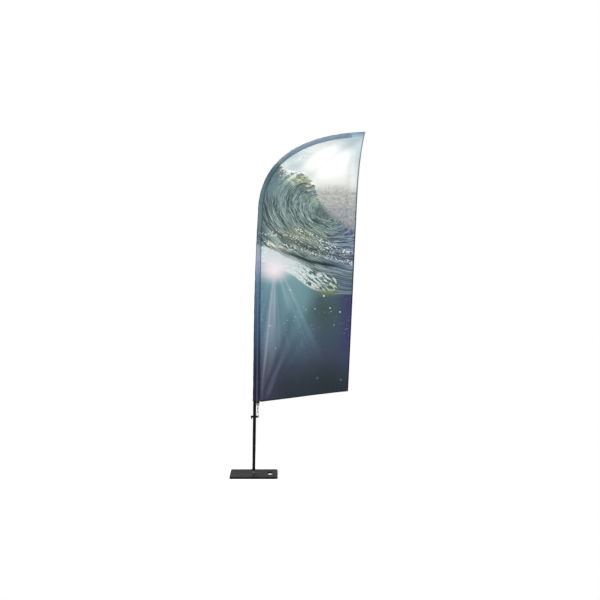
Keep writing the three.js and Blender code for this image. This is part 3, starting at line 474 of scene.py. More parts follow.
@dataclass(frozen=True)
class DyedTape(Webbing):
    """Edge tape that took some of the print's colour, from slate grey above to near black below."""

    def mix(self, r: Recipe) -> None:
        """Dyes the woven tape by height."""
        super().mix(r)
        weave = r.shader.inputs["Base Color"].links[0].from_socket
        dyed = r.ramp(r.z, (
            (0.46, dye(24, 28, 36)), (0.90, dye(34, 34, 58)), (1.20, dye(46, 46, 84)),
            (1.45, dye(50, 60, 92)), (1.65, dye(92, 106, 112)), (1.85, dye(138, 152, 160)),
            (2.19, dye(150, 168, 184)),
        ))
        r.finish(Base_Color=r.mix(0.75, weave, dyed))


@dataclass(frozen=True)
class Braid(Finish):
    """The braided sheath of an elastic cord, with a light tracer yarn."""

    colour: Colour = dye(20, 20, 22)
    tracer: Colour = dye(66, 66, 64)
    yarn: float = 1100.0
    fleck: float = 620.0
    yarn_depth: float = 0.08 * MM

    def mix(self, r: Recipe) -> None:
        """Flecks the braid where yarns pass over each other."""
        yarns = r.noise(r.place, self.yarn, 4.0)
        flecks = r.fade(r.cells(r.place, self.fleck), 0.3, 0.12)
        r.finish(
            Base_Color=r.mix(flecks * 0.45, self.colour, self.tracer),
            Roughness=yarns * 0.2 + 0.62,
            Sheen_Weight=0.2,
            IOR=1.35,
        )
        r.bump(yarns, self.yarn_depth, 0.6)


@dataclass(frozen=True)
class Thread(Finish):
    """Twisted polyester sewing thread."""

    colour: Colour = dye(44, 50, 62)
    lit: Colour = dye(92, 100, 116)
    twist: float = 9000.0
    fuzz: float = 1200.0

    def mix(self, r: Recipe) -> None:
        """Twists two shades together."""
        twist = r.maths("SINE", (r.x + r.y + r.z) * self.twist)
        soft = r.noise(r.place, self.fuzz, 2.0)
        r.finish(
            Base_Color=r.mix(r.fade(twist + soft, 0.0, 1.6), self.colour, self.lit),
            Roughness=soft * 0.2 + 0.5,
            Sheen_Weight=0.2,
        )


@dataclass(frozen=True)
class StudioPaper(Finish):
    """The pale paper that the flag stands on, which fades out into the white surround."""

    colour: Colour = dye(250, 250, 250)
    near: float = 0.5
    far: float = 1.6

    def mix(self, r: Recipe) -> None:
        """Leaves the paper plain, and lets it fade with distance from the flag."""
        r.finish(Base_Color=self.colour, Roughness=0.9, Specular_IOR_Level=0.0)
        share = r.fade(r.gap(r.place, (0.0, 0.0, 0.0)), self.near, self.far)
        clear = r.node("ShaderNodeBsdfTransparent")
        both = r.node("ShaderNodeMixShader", sockets={0: share, 1: r.shader.outputs[0], 2: clear.outputs[0]})
        r.feed(r.output.inputs["Surface"], both.outputs[0])


@dataclass(frozen=True)
class SeaPrint:
    """A sea picture that is dyed into the cloth: a breaking wave over deep water with light rays.

    Places are in the plane of the flag, X and Z in metres, and a line gives Z at several X.
    The crease is a dark fold under the wave, the gloom the shade above it, and the tongue a
    sheet of foam on the water. Fleck bands are Z at the left and the right, width, and where
    along X they begin and end. Beams are lean, half width, strength and length.
    """

    sun: tuple[float, float] = (0.485, 1.985)
    wave_eye: tuple[float, float] = (0.486, 1.663)
    wave_reach: tuple[float, float] = (0.345, 0.2265)
    wave_tilt: float = -25.0
    burst: tuple[float, float] = (0.134, 1.304)
    crest: Line = (
        (0.0, 2.08), (0.150, 2.000), (0.178, 1.970), (0.204, 1.940), (0.240, 1.930), (0.291, 1.928),
        (0.326, 1.914), (0.352, 1.888), (0.390, 1.845), (0.404, 1.790), (0.430, 1.732), (0.482, 1.672),
        (0.551, 1.622), (0.638, 1.575), (0.70, 1.55),
    )
    gloom: Line = ((0.0, 1.60), (0.15, 1.53), (0.30, 1.47), (0.45, 1.42), (0.56, 1.39), (0.7, 1.37))
    foam_line: Line = ((0.0, 1.52), (0.10, 1.480), (0.16, 1.445), (0.24, 1.42), (0.7, 1.39))
    crease: Line = (
        (0.0, 1.50), (0.12, 1.455), (0.217, 1.413), (0.300, 1.382), (0.364, 1.358), (0.491, 1.336),
        (0.567, 1.326), (0.70, 1.30),
    )
    tongue_top: Line = (
        (0.0, 1.475), (0.10, 1.445), (0.212, 1.388), (0.302, 1.350), (0.347, 1.324), (0.392, 1.298),
        (0.446, 1.286), (0.517, 1.256), (0.545, 1.180), (0.70, 1.13),
    )
    tongue_foot: Line = (
        (0.0, 1.37), (0.10, 1.335), (0.20, 1.295), (0.253, 1.266), (0.302, 1.230), (0.347, 1.198),
        (0.41, 1.172), (0.482, 1.162), (0.545, 1.180), (0.70, 1.19),
    )
    surface: Line = (
        (0.0, 1.45), (0.11, 1.42), (0.20, 1.305), (0.253, 1.270), (0.302, 1.234), (0.347, 1.202),
        (0.41, 1.174), (0.482, 1.160), (0.54, 1.153), (0.70, 1.150),
    )
    fleck_bands: tuple[tuple[float, float, float, float, float], ...] = (
        (1.605, 1.355, 0.036, 0.13, 0.9), (1.495, 1.365, 0.026, -0.1, 0.9), (1.54, 1.48, 0.012, 0.05, 0.4),
        (1.69, 1.40, 0.034, 0.28, 0.47), (1.57, 1.415, 0.024, 0.46, 0.61),
    )
    beams: tuple[tuple[float, float, float, float], ...] = (
        (-0.070, 0.105, 0.26, 0.86), (-0.100, 0.022, 0.30, 1.00), (0.000, 0.030, 0.24, 0.45),
        (0.30, 0.07, 0.20, 0.34), (0.55, 0.06, 0.20, 0.26),
    )
    large_bubbles: tuple[Point, ...] = (
        (0.446, 1.140, 9.0), (0.485, 1.063, 6.0), (0.492, 1.040, 4.0), (0.548, 1.038, 6.5),
        (0.389, 1.057, 4.5), (0.230, 1.178, 6.0), (0.103, 0.949, 6.0), (0.262, 1.006, 4.0),
        (0.332, 1.052, 4.0), (0.212, 0.985, 3.5), (0.318, 1.068, 3.0), (0.138, 0.806, 4.0),
        (0.510, 0.955, 4.0),
    )
    faint_rings: Line = ((0.404, 0.616), (0.553, 0.606))
    flag_width: float = 0.62

    def blot(self, r: Recipe, x: float, z: float, wide: float, high: float) -> Signal:
        """A soft oval that is 1 in the middle and 0 at its rim."""
        across = (r.x - x) / wide
        up = (r.z - z) / high
        far = r.maths("SQRT", across * across + up * up)
        return r.fade(far, 1.0, 0.0)

    def sky(self, r: Recipe) -> bpy.types.NodeSocket:
        """Pale cloud about a white sun."""
        cloud = r.noise(r.join(r.x * 0.7, 3.0, r.z * 1.7), 8.0, 7.0)
        sky = r.mix(r.fade(cloud, 0.38, 0.64), dye(186, 202, 206), dye(214, 222, 220))
        sky = r.mix(self.blot(r, 0.64, 2.18, 0.26, 0.13) * 0.7, sky, dye(158, 180, 194))
        sky = r.mix(r.fade(r.x, 0.575, 0.66) * r.fade(r.z, 1.85, 1.98) * 0.5, sky, dye(176, 198, 204))
        sky = r.mix(r.fade(r.z, 1.97, 1.86) * 0.75, sky, dye(230, 230, 224))
        halo = self.blot(r, *self.sun, 0.27, 0.22)
        sky = r.mix(r.fade(halo, 0.0, 0.8), sky, dye(238, 241, 237))
        core = self.blot(r, *self.sun, 0.20, 0.155)
        return r.mix(r.fade(core, 0.0, 0.75), sky, dye(255, 255, 253))

    def spray(self, r: Recipe, under: Value) -> bpy.types.NodeSocket:
        """Grey spray that hangs behind the wave's lip."""
        ragged = r.noise(r.join(r.x, 1.0, r.z), 14.0, 8.0, 0.62)
        mottle = r.noise(r.join(r.x * 1.1 + r.z * 0.5, 2.0, r.z), 60.0, 9.0, 0.8)
        top = 1.835 - (ragged - 0.5) * 0.10
        there = r.fade(r.z - top, 0.030, -0.050) * r.fade(r.x, 0.33, 0.42)
        tone = r.mix(r.fade(mottle, 0.34, 0.66), dye(134, 140, 132), dye(206, 206, 200))
        low = r.mix(r.fade(mottle, 0.34, 0.66), dye(104, 114, 120), dye(176, 174, 182))
        tone = r.mix(r.fade(r.z + ragged * 0.08, 1.82, 1.68) * 0.8, tone, low)
        tone = r.mix(self.blot(r, 0.40, 1.85, 0.075, 0.055) * 0.8, tone, dye(216, 204, 190))
        return r.mix(there * 0.94, under, tone)

    def swirl(self, r: Recipe) -> tuple[Signal, bpy.types.NodeSocket]:
        """Rings about the wave's hollow.

        Returns:
            The ring, which is 1 where the wave's face is steepest, and a direction on it.
        """
        tilt = math.radians(self.wave_tilt)
        dx, dz = r.x - self.wave_eye[0], r.z - self.wave_eye[1]
        along = (dx * math.cos(tilt) + dz * math.sin(tilt)) / self.wave_reach[0]
        over = (dz * math.cos(tilt) - dx * math.sin(tilt)) / self.wave_reach[1]
        ring = r.maths("SQRT", along * along + over * over) + 0.001
        return ring, r.join(along / ring, over / ring, 0.0)

    def wave(self, r: Recipe, under: Value) -> bpy.types.NodeSocket:
        """The wave's streaked green face, its foam lip and its hollow."""
        ring, way = self.swirl(r)
        part = r.node("ShaderNodeSeparateXYZ", sockets={0: way})
        cx, cz = (Signal(r, part.outputs[i]) for i in (0, 1))
        wobble = r.noise(r.join(r.x, 5.0, r.z), 9.0, 3.0) * 0.16

        def rings(turns: float, count: float, detail: float) -> Signal:
            """Noise drawn out along the rings."""
            where = r.join(cx * turns, cz * turns, (ring + wobble) * count)
            return r.noise(where, 1.0, detail, 0.6)

        broad, fine = rings(1.5, 6.0, 3.0), rings(2.0, 24.0, 5.0)
        hair, wisp = rings(2.6, 52.0, 5.0), rings(4.0, 110.0, 4.0)
        rough = r.fade(r.z - r.x * 0.12, 1.86, 1.58) * 0.55 + 0.45
        face = r.mix(r.fade(broad, 0.36, 0.64), dye(78, 98, 100), dye(124, 146, 142))
        face = r.mix(r.fade(fine, 0.54, 0.68) * 0.6, face, dye(150, 174, 168))
        face = r.mix(r.fade(fine, 0.47, 0.36) * 0.75, face, dye(46, 60, 62))
        face = r.mix(r.fade(hair, 0.54, 0.64) * rough * 0.75, face, dye(186, 210, 202))
        face = r.mix(r.fade(hair, 0.47, 0.39) * rough * 0.85, face, dye(24, 38, 38))
        face = r.mix(r.fade(wisp, 0.55, 0.64) * rough * 0.6, face, dye(216, 228, 222))
        face = r.mix(r.fade(wisp, 0.46, 0.38) * rough * 0.65, face, dye(24, 36, 38))
        olive = self.blot(r, 0.30, 1.52, 0.22, 0.12)
        face = r.mix(olive * r.fade(broad, 0.30, 0.6) * 0.5, face, dye(122, 130, 88))
        back = r.fade(r.x + (r.z - 1.45) * -0.16, 0.10, 0.02)
        face = r.mix(back * 0.55, face, dye(38, 62, 78))
        top_left = self.blot(r, 0.13, 1.85, 0.13, 0.15)
        face = r.mix(top_left * 0.45, face, dye(112, 146, 152))
        deep = r.fade(r.x - (r.z - 1.5) * 0.35, 0.44, 0.58) * r.fade(r.z, 1.24, 1.34)
        streak = r.mix(r.fade(fine, 0.38, 0.6), dye(48, 62, 98), dye(122, 140, 164))
        streak = r.mix(r.fade(wisp, 0.52, 0.66) * 0.7, streak, dye(196, 206, 216))
        face = r.mix(deep * 0.8, face, streak)
        eye = self.blot(r, 0.445, 1.672, 0.11, 0.075)
        face = r.mix(r.fade(eye, 0.0, 0.7) * 0.75, face, dye(84, 98, 96))
        face = r.mix(self.blot(r, 0.385, 1.745, 0.05, 0.05) * 0.9, face, dye(148, 172, 150))
        ragged = r.noise(r.join(r.x, 8.0, r.z), 30.0, 8.0, 0.7) - 0.5
        below = r.curve(r.x, self.crest) - r.z + ragged * 0.06
        soft = r.fade(r.x, 0.36, 0.44) * 0.035 + 0.010
        picture = r.mix(r.fade(below / soft, -0.6, 1.0), under, face)
        return self.lip(r, picture, below, hair)

    def lip(self, r: Recipe, under: Value, below: Signal, streaks: Signal) -> bpy.types.NodeSocket:
        """The foam along the crest, where it curls over and is flung up.

        Args:
            under: the picture so far.
            below: how far each place is below the crest.
            streaks: noise that runs round the wave's hollow.

        Returns:
            The picture with the foam.
        """
        span = r.fade(r.x, 0.14, 0.20) * r.fade(r.x, 0.44, 0.36)
        curl = r.fade(below, -0.01, 0.01) * r.fade(below, 0.115, 0.04) * span
        froth = r.noise(r.join(r.x * 0.8 + r.z * 0.5, 9.0, r.z), 52.0, 9.0, 0.74) * 0.6 + streaks * 0.4
        gold = r.ramp(froth, (
            (0.40, dye(70, 88, 76)), (0.48, dye(134, 144, 104)), (0.54, dye(198, 198, 150)),
            (0.60, dye(248, 248, 232)),
        ))
        white = r.ramp(froth, (
            (0.42, dye(72, 96, 94)), (0.50, dye(132, 156, 146)), (0.56, dye(214, 224, 214)),
            (0.60, dye(252, 252, 248)),
        ))
        foam = r.mix(self.blot(r, 0.315, 1.875, 0.12, 0.085), white, gold)
        picture = r.mix(curl * r.fade(froth, 0.44, 0.52) * 0.85, under, foam)
        edge = r.fade(below, -0.014, 0.0) * r.fade(below, 0.028, 0.008) * span
        picture = r.mix(edge * r.fade(froth, 0.46, 0.54), picture, dye(250, 250, 244))
        glint = r.fade(r.cells(r.join(r.x, 0.0, r.z), 58.0), 0.24, 0.12)
        flung = self.blot(r, 0.31, 2.01, 0.07, 0.09) + self.blot(r, 0.20, 1.93, 0.10, 0.09)
        return r.mix(flung * glint * 1.3, picture, dye(252, 252, 248))

    def lower_wave(self, r: Recipe, under: Value) -> bpy.types.NodeSocket:
        """The trough under the wave, a dark crease and white flecks."""
        flecks = r.cells(r.join(r.x * 0.8, 0.0, r.z * 1.3 + r.x * 0.5), 96.0)
        shine = r.fade(flecks, 0.42, 0.24)
        drawn = r.noise(r.join(r.x * 0.5, 4.0, r.z * 1.4 + r.x * 0.7), 34.0, 8.0, 0.74)
        picture = under
        for start, end, wide, near, far in self.fleck_bands:
            band = (end - start) * (r.x / self.flag_width) + start
            run = r.fade(r.maths("ABSOLUTE", r.z - band), wide, 0.0) * r.fade(drawn, 0.45, 0.54)
            run = run * r.fade(r.x, near - 0.04, near) * r.fade(r.x, far + 0.04, far)
            picture = r.mix(run * shine * 2.6, picture, dye(250, 252, 248))
        gloom = r.curve(r.x, self.gloom)
        dim = r.fade(r.maths("ABSOLUTE", r.z - gloom + (drawn - 0.5) * 0.05), 0.030, 0.004)
        picture = r.mix(dim * r.fade(r.x, 0.10, 0.20) * 0.55, picture, dye(30, 44, 42))
        line = r.curve(r.x, self.foam_line)
        foam = r.fade(r.maths("ABSOLUTE", r.z - line + (drawn - 0.5) * 0.06), 0.016, 0.002)
        foam = foam * r.fade(r.x, 0.08, 0.11) * r.fade(r.x, 0.26, 0.20) * r.fade(drawn, 0.46, 0.52)
        picture = r.mix(foam, picture, dye(226, 226, 206))
        crease = r.curve(r.x, self.crease)
        dark = r.fade(r.maths("ABSOLUTE", r.z - crease + (drawn - 0.5) * 0.035), 0.020, 0.002)
        dark = dark * r.fade(r.x, 0.10, 0.22) * r.fade(r.x, 0.64, 0.48)
        return r.mix(dark * 0.9, picture, dye(22, 36, 34))

    def depths(self, r: Recipe) -> bpy.types.NodeSocket:
        """Deep water, from teal under the surface to near black at the foot."""
        murk = r.noise(r.join(r.x, 6.0, r.z * 0.6), 6.0, 5.0) - 0.5
        level = r.z + murk * 0.10
        water = r.ramp(level, (
            (0.44, dye(36, 42, 54)), (0.58, dye(42, 50, 60)), (0.68, dye(56, 66, 80)),
            (0.80, dye(74, 92, 108)), (0.92, dye(86, 116, 132)), (1.07, dye(96, 130, 142)),
            (1.20, dye(106, 146, 154)), (1.34, dye(140, 172, 180)),
        ))
        shade = r.fade(r.x + murk * 0.06, 0.28, 0.46) * 0.8
        right = r.ramp(level, (
            (0.44, dye(32, 40, 46)), (0.60, dye(38, 47, 55)), (0.78, dye(58, 66, 84)),
            (0.95, dye(60, 72, 82)), (1.12, dye(58, 74, 80)), (1.24, dye(74, 98, 108)),
        ))
        water = r.mix(shade, water, right)
        violet = r.fade(r.x - (r.z - 0.9) * 0.03, 0.49, 0.60) * r.fade(r.z, 0.62, 0.86)
        water = r.mix(violet * 0.85, water, dye(60, 60, 104))
        water = r.mix(self.blot(r, 0.43, 1.03, 0.14, 0.14) * 0.5, water, dye(66, 80, 66))
        water = r.mix(self.blot(r, 0.26, 1.15, 0.16, 0.20) * 0.6, water, dye(122, 160, 162))
        left = r.fade(r.x, 0.12, 0.04) * r.fade(r.z, 0.72, 0.92)
        water = r.mix(left * 0.35, water, dye(86, 116, 146))
        foot = r.fade(r.z, 0.86, 0.62) * r.fade(r.x, 0.24, 0.08)
        water = r.mix(foot * 0.4, water, dye(60, 60, 84))
        return self.rays(r, water)

    def rays(self, r: Recipe, under: Value) -> bpy.types.NodeSocket:
        """Light that fans down from the bright spot at the surface."""
        down = self.burst[1] - r.z
        slope = (r.x - self.burst[0]) / (r.maths("MAXIMUM", down, 0.0) + 0.06)
        fan = r.noise(r.join(slope * 4.0, 0.5, r.z * 0.4), 1.7, 6.0, 0.62)
        reach = r.fade(down, 0.02, 0.08) * r.fade(down, 0.62, 0.08)
        wide = r.fade(r.maths("ABSOLUTE", slope - 0.10), 0.85, 0.1)
        picture = r.mix(r.fade(fan, 0.44, 0.66) * reach * wide * 0.45, under, dye(170, 194, 206))
        for lean, half, strength, end in self.beams:
            beam = r.fade(r.maths("ABSOLUTE", slope - lean), half, 0.0)
            fall = r.fade(down, 0.02, 0.07) * r.fade(down, end, end * 0.2)
            picture = r.mix(beam * fall * strength, picture, dye(206, 214, 232))
        second = r.maths("ABSOLUTE", r.x - 0.087 - (r.z - 0.509) * 0.40)
        run = r.fade(r.z, 0.47, 0.54) * r.fade(r.z, 0.80, 0.66)
        return r.mix(r.fade(second, 0.022, 0.0) * run * 0.13, picture, dye(150, 160, 190))

    def tongue(self, r: Recipe, under: Value) -> bpy.types.NodeSocket:
        """The sheet of foam on the surface, torn into lace towards its tip."""
        drawn = r.join(r.x * 0.27 - r.z * 0.12, 7.0, r.z + r.x * 0.72)
        lace = r.noise(drawn, 66.0, 7.0, 0.66)
        thread = r.noise(drawn, 150.0, 5.0, 0.66)
        upper = r.curve(r.x, self.tongue_top)
        lower = r.curve(r.x, self.tongue_foot)
        ragged = (lace - 0.5) * 0.035
        inside = r.fade(upper - r.z + ragged, -0.006, 0.010) * r.fade(r.z - lower + ragged, -0.010, 0.014)
        torn = r.fade(r.x, 0.22, 0.50)
        holes = r.fade(lace + torn * 0.075, 0.540, 0.575) * r.fade(torn, 0.0, 0.35)
        rips = r.fade(thread, 0.56, 0.64) * r.fade(upper - r.z, 0.075, 0.02)
        foam = r.mix(r.fade(thread, 0.42, 0.62), dye(186, 206, 204), dye(236, 242, 240))
        foam = r.mix(rips * 0.7, foam, dye(84, 108, 106))
        lit_from_below = r.fade(r.z - lower, 0.09, 0.0) * r.fade(r.x, 0.34, 0.48)
        foam = r.mix(lit_from_below * 0.6, foam, dye(140, 152, 104))
        foam = r.mix(holes * 0.95, foam, dye(64, 92, 88))
        rim = r.fade(r.maths("ABSOLUTE", r.z - lower - 0.004), 0.012, 0.003) * r.fade(r.x, 0.52, 0.30)
        foam = r.mix(rim * r.fade(r.x, 0.17, 0.24) * 0.85, foam, dye(226, 240, 230))
        picture = r.mix(inside, under, foam)
        glow = r.fade(r.maths("ABSOLUTE", r.z - 1.158), 0.03, 0.0) * self.blot(r, 0.47, 1.16, 0.14, 0.05)
        return r.mix(glow * 0.7, picture, dye(118, 132, 84))

    def bright_spot(self, r: Recipe, under: Value) -> bpy.types.NodeSocket:
        """The warm white burst where the light enters the water."""
        haze = self.blot(r, self.burst[0] - 0.02, self.burst[1] + 0.03, 0.20, 0.135)
        picture = r.mix(haze * 0.85, under, dye(220, 220, 228))
        core = self.blot(r, *self.burst, 0.135, 0.125)
        return r.mix(core * core * 0.9, picture, dye(248, 238, 238))

    def bubbles(self, r: Recipe, under: Value) -> bpy.types.NodeSocket:
        """Bubbles in the deep water: a few large ones, and many small."""
        flat = r.join(r.x, 0.0, r.z)
        small = r.fade(r.cells(r.join(r.x, 2.0, r.z), 62.0), 0.26, 0.10)
        deep = r.fade(r.z, 0.70, 0.90) * r.fade(r.z, 1.15, 1.10)
        few = r.fade(r.noise(flat, 9.0, 2.0), 0.47, 0.60) * deep
        picture = r.mix(small * few * 0.5, under, dye(180, 200, 208))
        for x, z, radius in self.large_bubbles:
            disc = r.fade(r.gap(flat, (x, 0.0, z)), radius * MM, radius * 0.45 * MM)
            picture = r.mix(disc * 0.85, picture, dye(206, 222, 228))
        for x, z in self.faint_rings:
            ring = r.fade(r.maths("ABSOLUTE", r.gap(flat, (x, 0.0, z)) - 5.0 * MM), 3.5 * MM, 1.0 * MM)
            picture = r.mix(ring * 0.24, picture, dye(150, 168, 176))
        return picture

    def paint(self, r: Recipe) -> bpy.types.NodeSocket:
        """Lays the whole picture.

        Returns:
            The colour at each place on the cloth.
        """
        above = self.lower_wave(r, self.wave(r, self.spray(r, self.sky(r))))
        ragged = r.noise(r.join(r.x, 5.0, r.z), 30.0, 4.0) - 0.5
        surface = r.curve(r.x, self.surface)
        under_water = r.fade(surface - r.z + ragged * 0.006, -0.004, 0.006)
        slate = r.fade(r.x, 0.40, 0.58) * r.fade(r.z, 1.30, 1.22)
        above = r.mix(slate * 0.6, above, dye(70, 88, 118))
        picture = r.mix(under_water, above, self.depths(r))
        picture = self.bright_spot(r, self.tongue(r, picture))
        line = r.fade(r.maths("ABSOLUTE", r.z - 1.154), 0.004, 0.001) * r.fade(r.x, 0.48, 0.53)
        picture = r.mix(line * 0.6, picture, dye(150, 160, 186))
        picture = self.bubbles(r, picture)
        strip = r.fade(r.z, 2.145, 2.172) * r.fade(r.x, 0.50, 0.60)
        picture = r.mix(strip * 0.75, picture, dye(122, 148, 170))
        rim = r.fade(r.z, 2.1745, 2.1790) * r.fade(r.x, 0.60, 0.63)
        picture = r.mix(rim * 0.8, picture, dye(74, 98, 122))
        dots = r.noise(r.join(r.x, 0.0, r.z), 420.0, 2.0) - 0.5
        return r.mix(r.maths("ABSOLUTE", dots) * 0.7, picture, dye(120, 130, 138))


@dataclass(frozen=True)
class PrintedCloth(Finish):
    """Knitted polyester flag cloth with the picture dyed through it."""

    picture: SeaPrint = SeaPrint()
    loop: float = 1.3 * MM
    fuzz: float = 1500.0
    knit_depth: float = 0.12 * MM

    def colour(self, r: Recipe) -> bpy.types.NodeSocket:
        """Returns the cloth's colour; the sleeve has its own."""
        return self.picture.paint(r)

    def mix(self, r: Recipe) -> None:
        """Lays the picture on the knit."""
        turn = 2.0 * math.pi / self.loop
        wale = r.maths("SINE", r.x * turn)
        course = r.maths("SINE", r.z * (turn * 0.8))
        knit = wale * course * 0.5 + r.noise(r.place, self.fuzz, 2.0)
        r.finish(
            Base_Color=self.colour(r),
            Roughness=r.fade(knit, 0.0, 1.0) * 0.12 + 0.68,
            Sheen_Weight=0.02,
            IOR=1.15,
        )
        r.bump(knit, self.knit_depth, 0.5)


@dataclass(frozen=True)
class SleeveCloth(PrintedCloth):
    """The sleeve's cloth: the picture's edge, dyed darker below and slate blue round the arch."""

    def colour(self, r: Recipe) -> bpy.types.NodeSocket:
        """Returns the picture with the sleeve's band, painted shade at its edges and a painted highlight."""
        across = Signal(r, r.node("ShaderNodeAttribute", {"attribute_name": ACROSS}).outputs["Fac"])
        streak = r.noise(r.join(across * 60.0, 2.0, r.z * 0.35), 22.0, 4.0) - 0.5
        band = r.ramp(r.z + streak * 0.05, (
            (0.44, dye(24, 23, 44)), (0.62, dye(27, 27, 52)), (0.80, dye(30, 42, 74)),
            (1.00, dye(46, 78, 112)), (1.22, dye(84, 114, 146)), (1.34, dye(134, 148, 182)),
            (1.43, dye(130, 142, 170)), (1.50, dye(84, 106, 112)), (1.60, dye(106, 128, 134)),
            (1.80, dye(98, 124, 132)), (1.92, dye(74, 102, 108)), (1.985, dye(92, 118, 132)),
            (2.06, dye(118, 140, 164)), (2.20, dye(122, 144, 166)),
        ))
        share = r.fade(r.z, 1.94, 2.04) * 0.14 + 0.72
        picture = r.mix(share, self.picture.paint(r), band)
        # Painted shade: the outer edge, where the round side turns away, and the strip by the seam are
        # darkened.
        outer = r.fade(across, 0.24, 0.04)
        seam = r.fade(across, 0.78, 0.96) * (1.0 - 0.8 * r.fade(r.z, 1.90, 2.02))
        picture = r.mix(outer * 0.72 + seam * 0.45, picture, dye(22, 34, 50))
        # Painted highlight: a lighter strip down the middle, where the sleeve faces the light.
        lit = r.fade(r.maths("ABSOLUTE", across - 0.55), 0.12, 0.02)
        return r.mix(lit * 0.22, picture, dye(150, 168, 190))


PAINT = PowderCoat("plate_powder_coat")
ZINC = Plated("zinc_plate")
POLE_BLACK = Anodised("black_anodised_tube")
CRIMP_BLACK = Anodised("black_crimp", colour=dye(30, 30, 32))
BLACK_PLASTIC = Moulded("black_nylon")
WHITE_PLASTIC = Moulded("white_bearing_plastic", dye(214, 214, 207), dye(190, 188, 178), 0.36)
MAT_RUBBER = Rubber("anti_slip_rubber")
ROD = GlassFibre("glass_fibre_rod")
TAPE = DyedTape("edge_tape", dye(20, 23, 30), dye(42, 46, 56), 0.9 * MM)
EYELET_BLACK = Plated("blackened_eyelet", dye(58, 58, 62), dye(30, 30, 33))
WEBBING = Webbing("tab_webbing")
POCKET_WEBBING = Webbing("pocket_webbing", dye(116, 138, 162), dye(144, 164, 184), 1.4 * MM)
CORD_BRAID = Braid("cord_braid")
SEAM_THREAD = Thread("seam_thread", dye(60, 74, 96), dye(104, 122, 146))
DARK_THREAD = Thread("dark_thread", dye(30, 32, 38), dye(70, 74, 84))
FLAG_CLOTH = PrintedCloth("printed_flag_cloth")
SLEEVE_CLOTH = SleeveCloth("printed_sleeve_cloth")
PAPER = StudioPaper("studio_paper")


# ---- Pieces ---------------------------------------------------------------------------------------


def add_piece(
    name: str, points: np.ndarray, faces: list, finish: Finish, sharp: float = SHARP_TURN
) -> bpy.types.Object:
    """Makes a mesh object.

    Args:
        name: the piece's name.
        points: its vertices, in metres.
        faces: vertex numbers of each face.
        finish: what it is made of.
        sharp: edges that turn by more than this many degrees stay sharp.

    Returns:
        The object, in the scene.
    """
    mesh = bpy.data.meshes.new(name)
    mesh.from_pydata(np.asarray(points, float).reshape(-1, 3).tolist(), [], faces)
    return dress(bpy.data.objects.new(name, mesh), finish, sharp)


def dress(piece: bpy.types.Object, finish: Finish, sharp: float) -> bpy.types.Object:
    """Puts an object in the scene with smooth shading and a finish."""
    bpy.context.scene.collection.objects.link(piece)
    piece.data.materials.clear()
    piece.data.materials.append(finish.material())
    piece.data.shade_smooth()
    piece.data.set_sharp_from_angle(angle=math.radians(sharp))
    return piece


def strip_faces(rows: int, columns: int, closed: bool = False, turned: bool = False) -> list:
    """Quads between rows of points.

    Args:
        rows, columns: how many points there are each way.
        closed: whether each row joins up with its own start.
        turned: whether the faces are wound the other way round.

    Returns:
        The faces.
    """
    faces = []
    for row in range(rows - 1):
        for column in range(columns if closed else columns - 1):
            beside = (column + 1) % columns
            a, b = row * columns + column, row * columns + beside
            quad = [a, b, b + columns, a + columns]
            faces.append(quad[::-1] if turned else quad)
    return faces


def outward(piece: bpy.types.Object, weld: bool = True) -> None:
    """Turns every face of a closed piece outwards, and welds points that lie together."""
    shell = bmesh.new()
    shell.from_mesh(piece.data)
    if weld:
        bmesh.ops.remove_doubles(shell, verts=shell.verts, dist=WELD)
    bmesh.ops.recalc_face_normals(shell, faces=shell.faces)
    shell.to_mesh(piece.data)
    shell.free()


def thicken(piece: bpy.types.Object, thickness: float, offset: float = 0.0) -> None:
    """Gives a sheet its thickness, with its rims closed."""
    wall = piece.modifiers.new("thickness", "SOLIDIFY")
    wall.thickness = thickness
    wall.offset = offset
    wall.use_rim = True


def refined(node: str, name: str, finish: Finish, edge: float, steps: int) -> bpy.types.Object:
    """A finer copy of a CAD node, with its sharp edges rounded.

    Args:
        node: the CAD node.
        name: the new piece's name.
        finish: what it is made of.
        edge: how far back from the corner the rounding begins.
        steps: facets across the rounding.

    Returns:
        The object.
    """
    shell = bmesh.new()
    shell.from_mesh(frame["nodes"][node].data)
    bmesh.ops.remove_doubles(shell, verts=shell.verts, dist=CAD_WELD)
    flat, turn = math.radians(FLAT_TURN), math.radians(CORNER_TURN)
    bmesh.ops.dissolve_limit(shell, angle_limit=flat, verts=shell.verts, edges=shell.edges)
    corners = [e for e in shell.edges if len(e.link_faces) == 2 and e.calc_face_angle(0.0) > turn]
    bmesh.ops.bevel(
        shell, geom=corners, offset=edge, segments=steps, profile=0.5, affect="EDGES", clamp_overlap=True
    )
    mesh = bpy.data.meshes.new(name)
    shell.to_mesh(mesh)
    shell.free()
    piece = dress(bpy.data.objects.new(name, mesh), finish, ROUNDED_TURN)
    piece.modifiers.new("even_shading", "WEIGHTED_NORMAL").keep_sharp = True
    return piece


def fit(piece: bpy.types.Object, body: Body, slot: str, *nodes: str) -> bpy.types.Object:
    """Lets a piece ride on a body in place of CAD nodes, and reports it."""
    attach(piece, body.value)
    if nodes:
        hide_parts(*nodes)
    log.info("%s rides on %s in place of %s", piece.name, body.value, ", ".join(nodes) or "nothing")
    return piece


def repaint(finish: Finish, *nodes: str) -> None:
    """Gives CAD nodes that stay as they are a finish."""
    for node in nodes:
        for slot in frame["nodes"][node].material_slots:
            slot.material = finish.material()
        log.info("%s keeps its CAD shape", node)


@dataclass(frozen=True)
class Rounded:
    """A CAD node that is made again with rounded edges, and how the new piece is fitted."""

    node: str
    name: str
    finish: Finish
    edge: float
    steps: int
    body: Body
    slot: str

    def make(self) -> bpy.types.Object:
        """Makes the piece and fits it in place of its node."""
        piece = refined(self.node, self.name, self.finish, self.edge, self.steps)
        return fit(piece, self.body, self.slot, self.node)


def moved(points: np.ndarray, distance: float) -> np.ndarray:
    """Points of a plane curve moved to the left of its direction."""
    way = np.gradient(points, axis=0)
    way /= np.linalg.norm(way, axis=1, keepdims=True)
    return points + np.stack([-way[:, 1], way[:, 0]], axis=-1) * distance


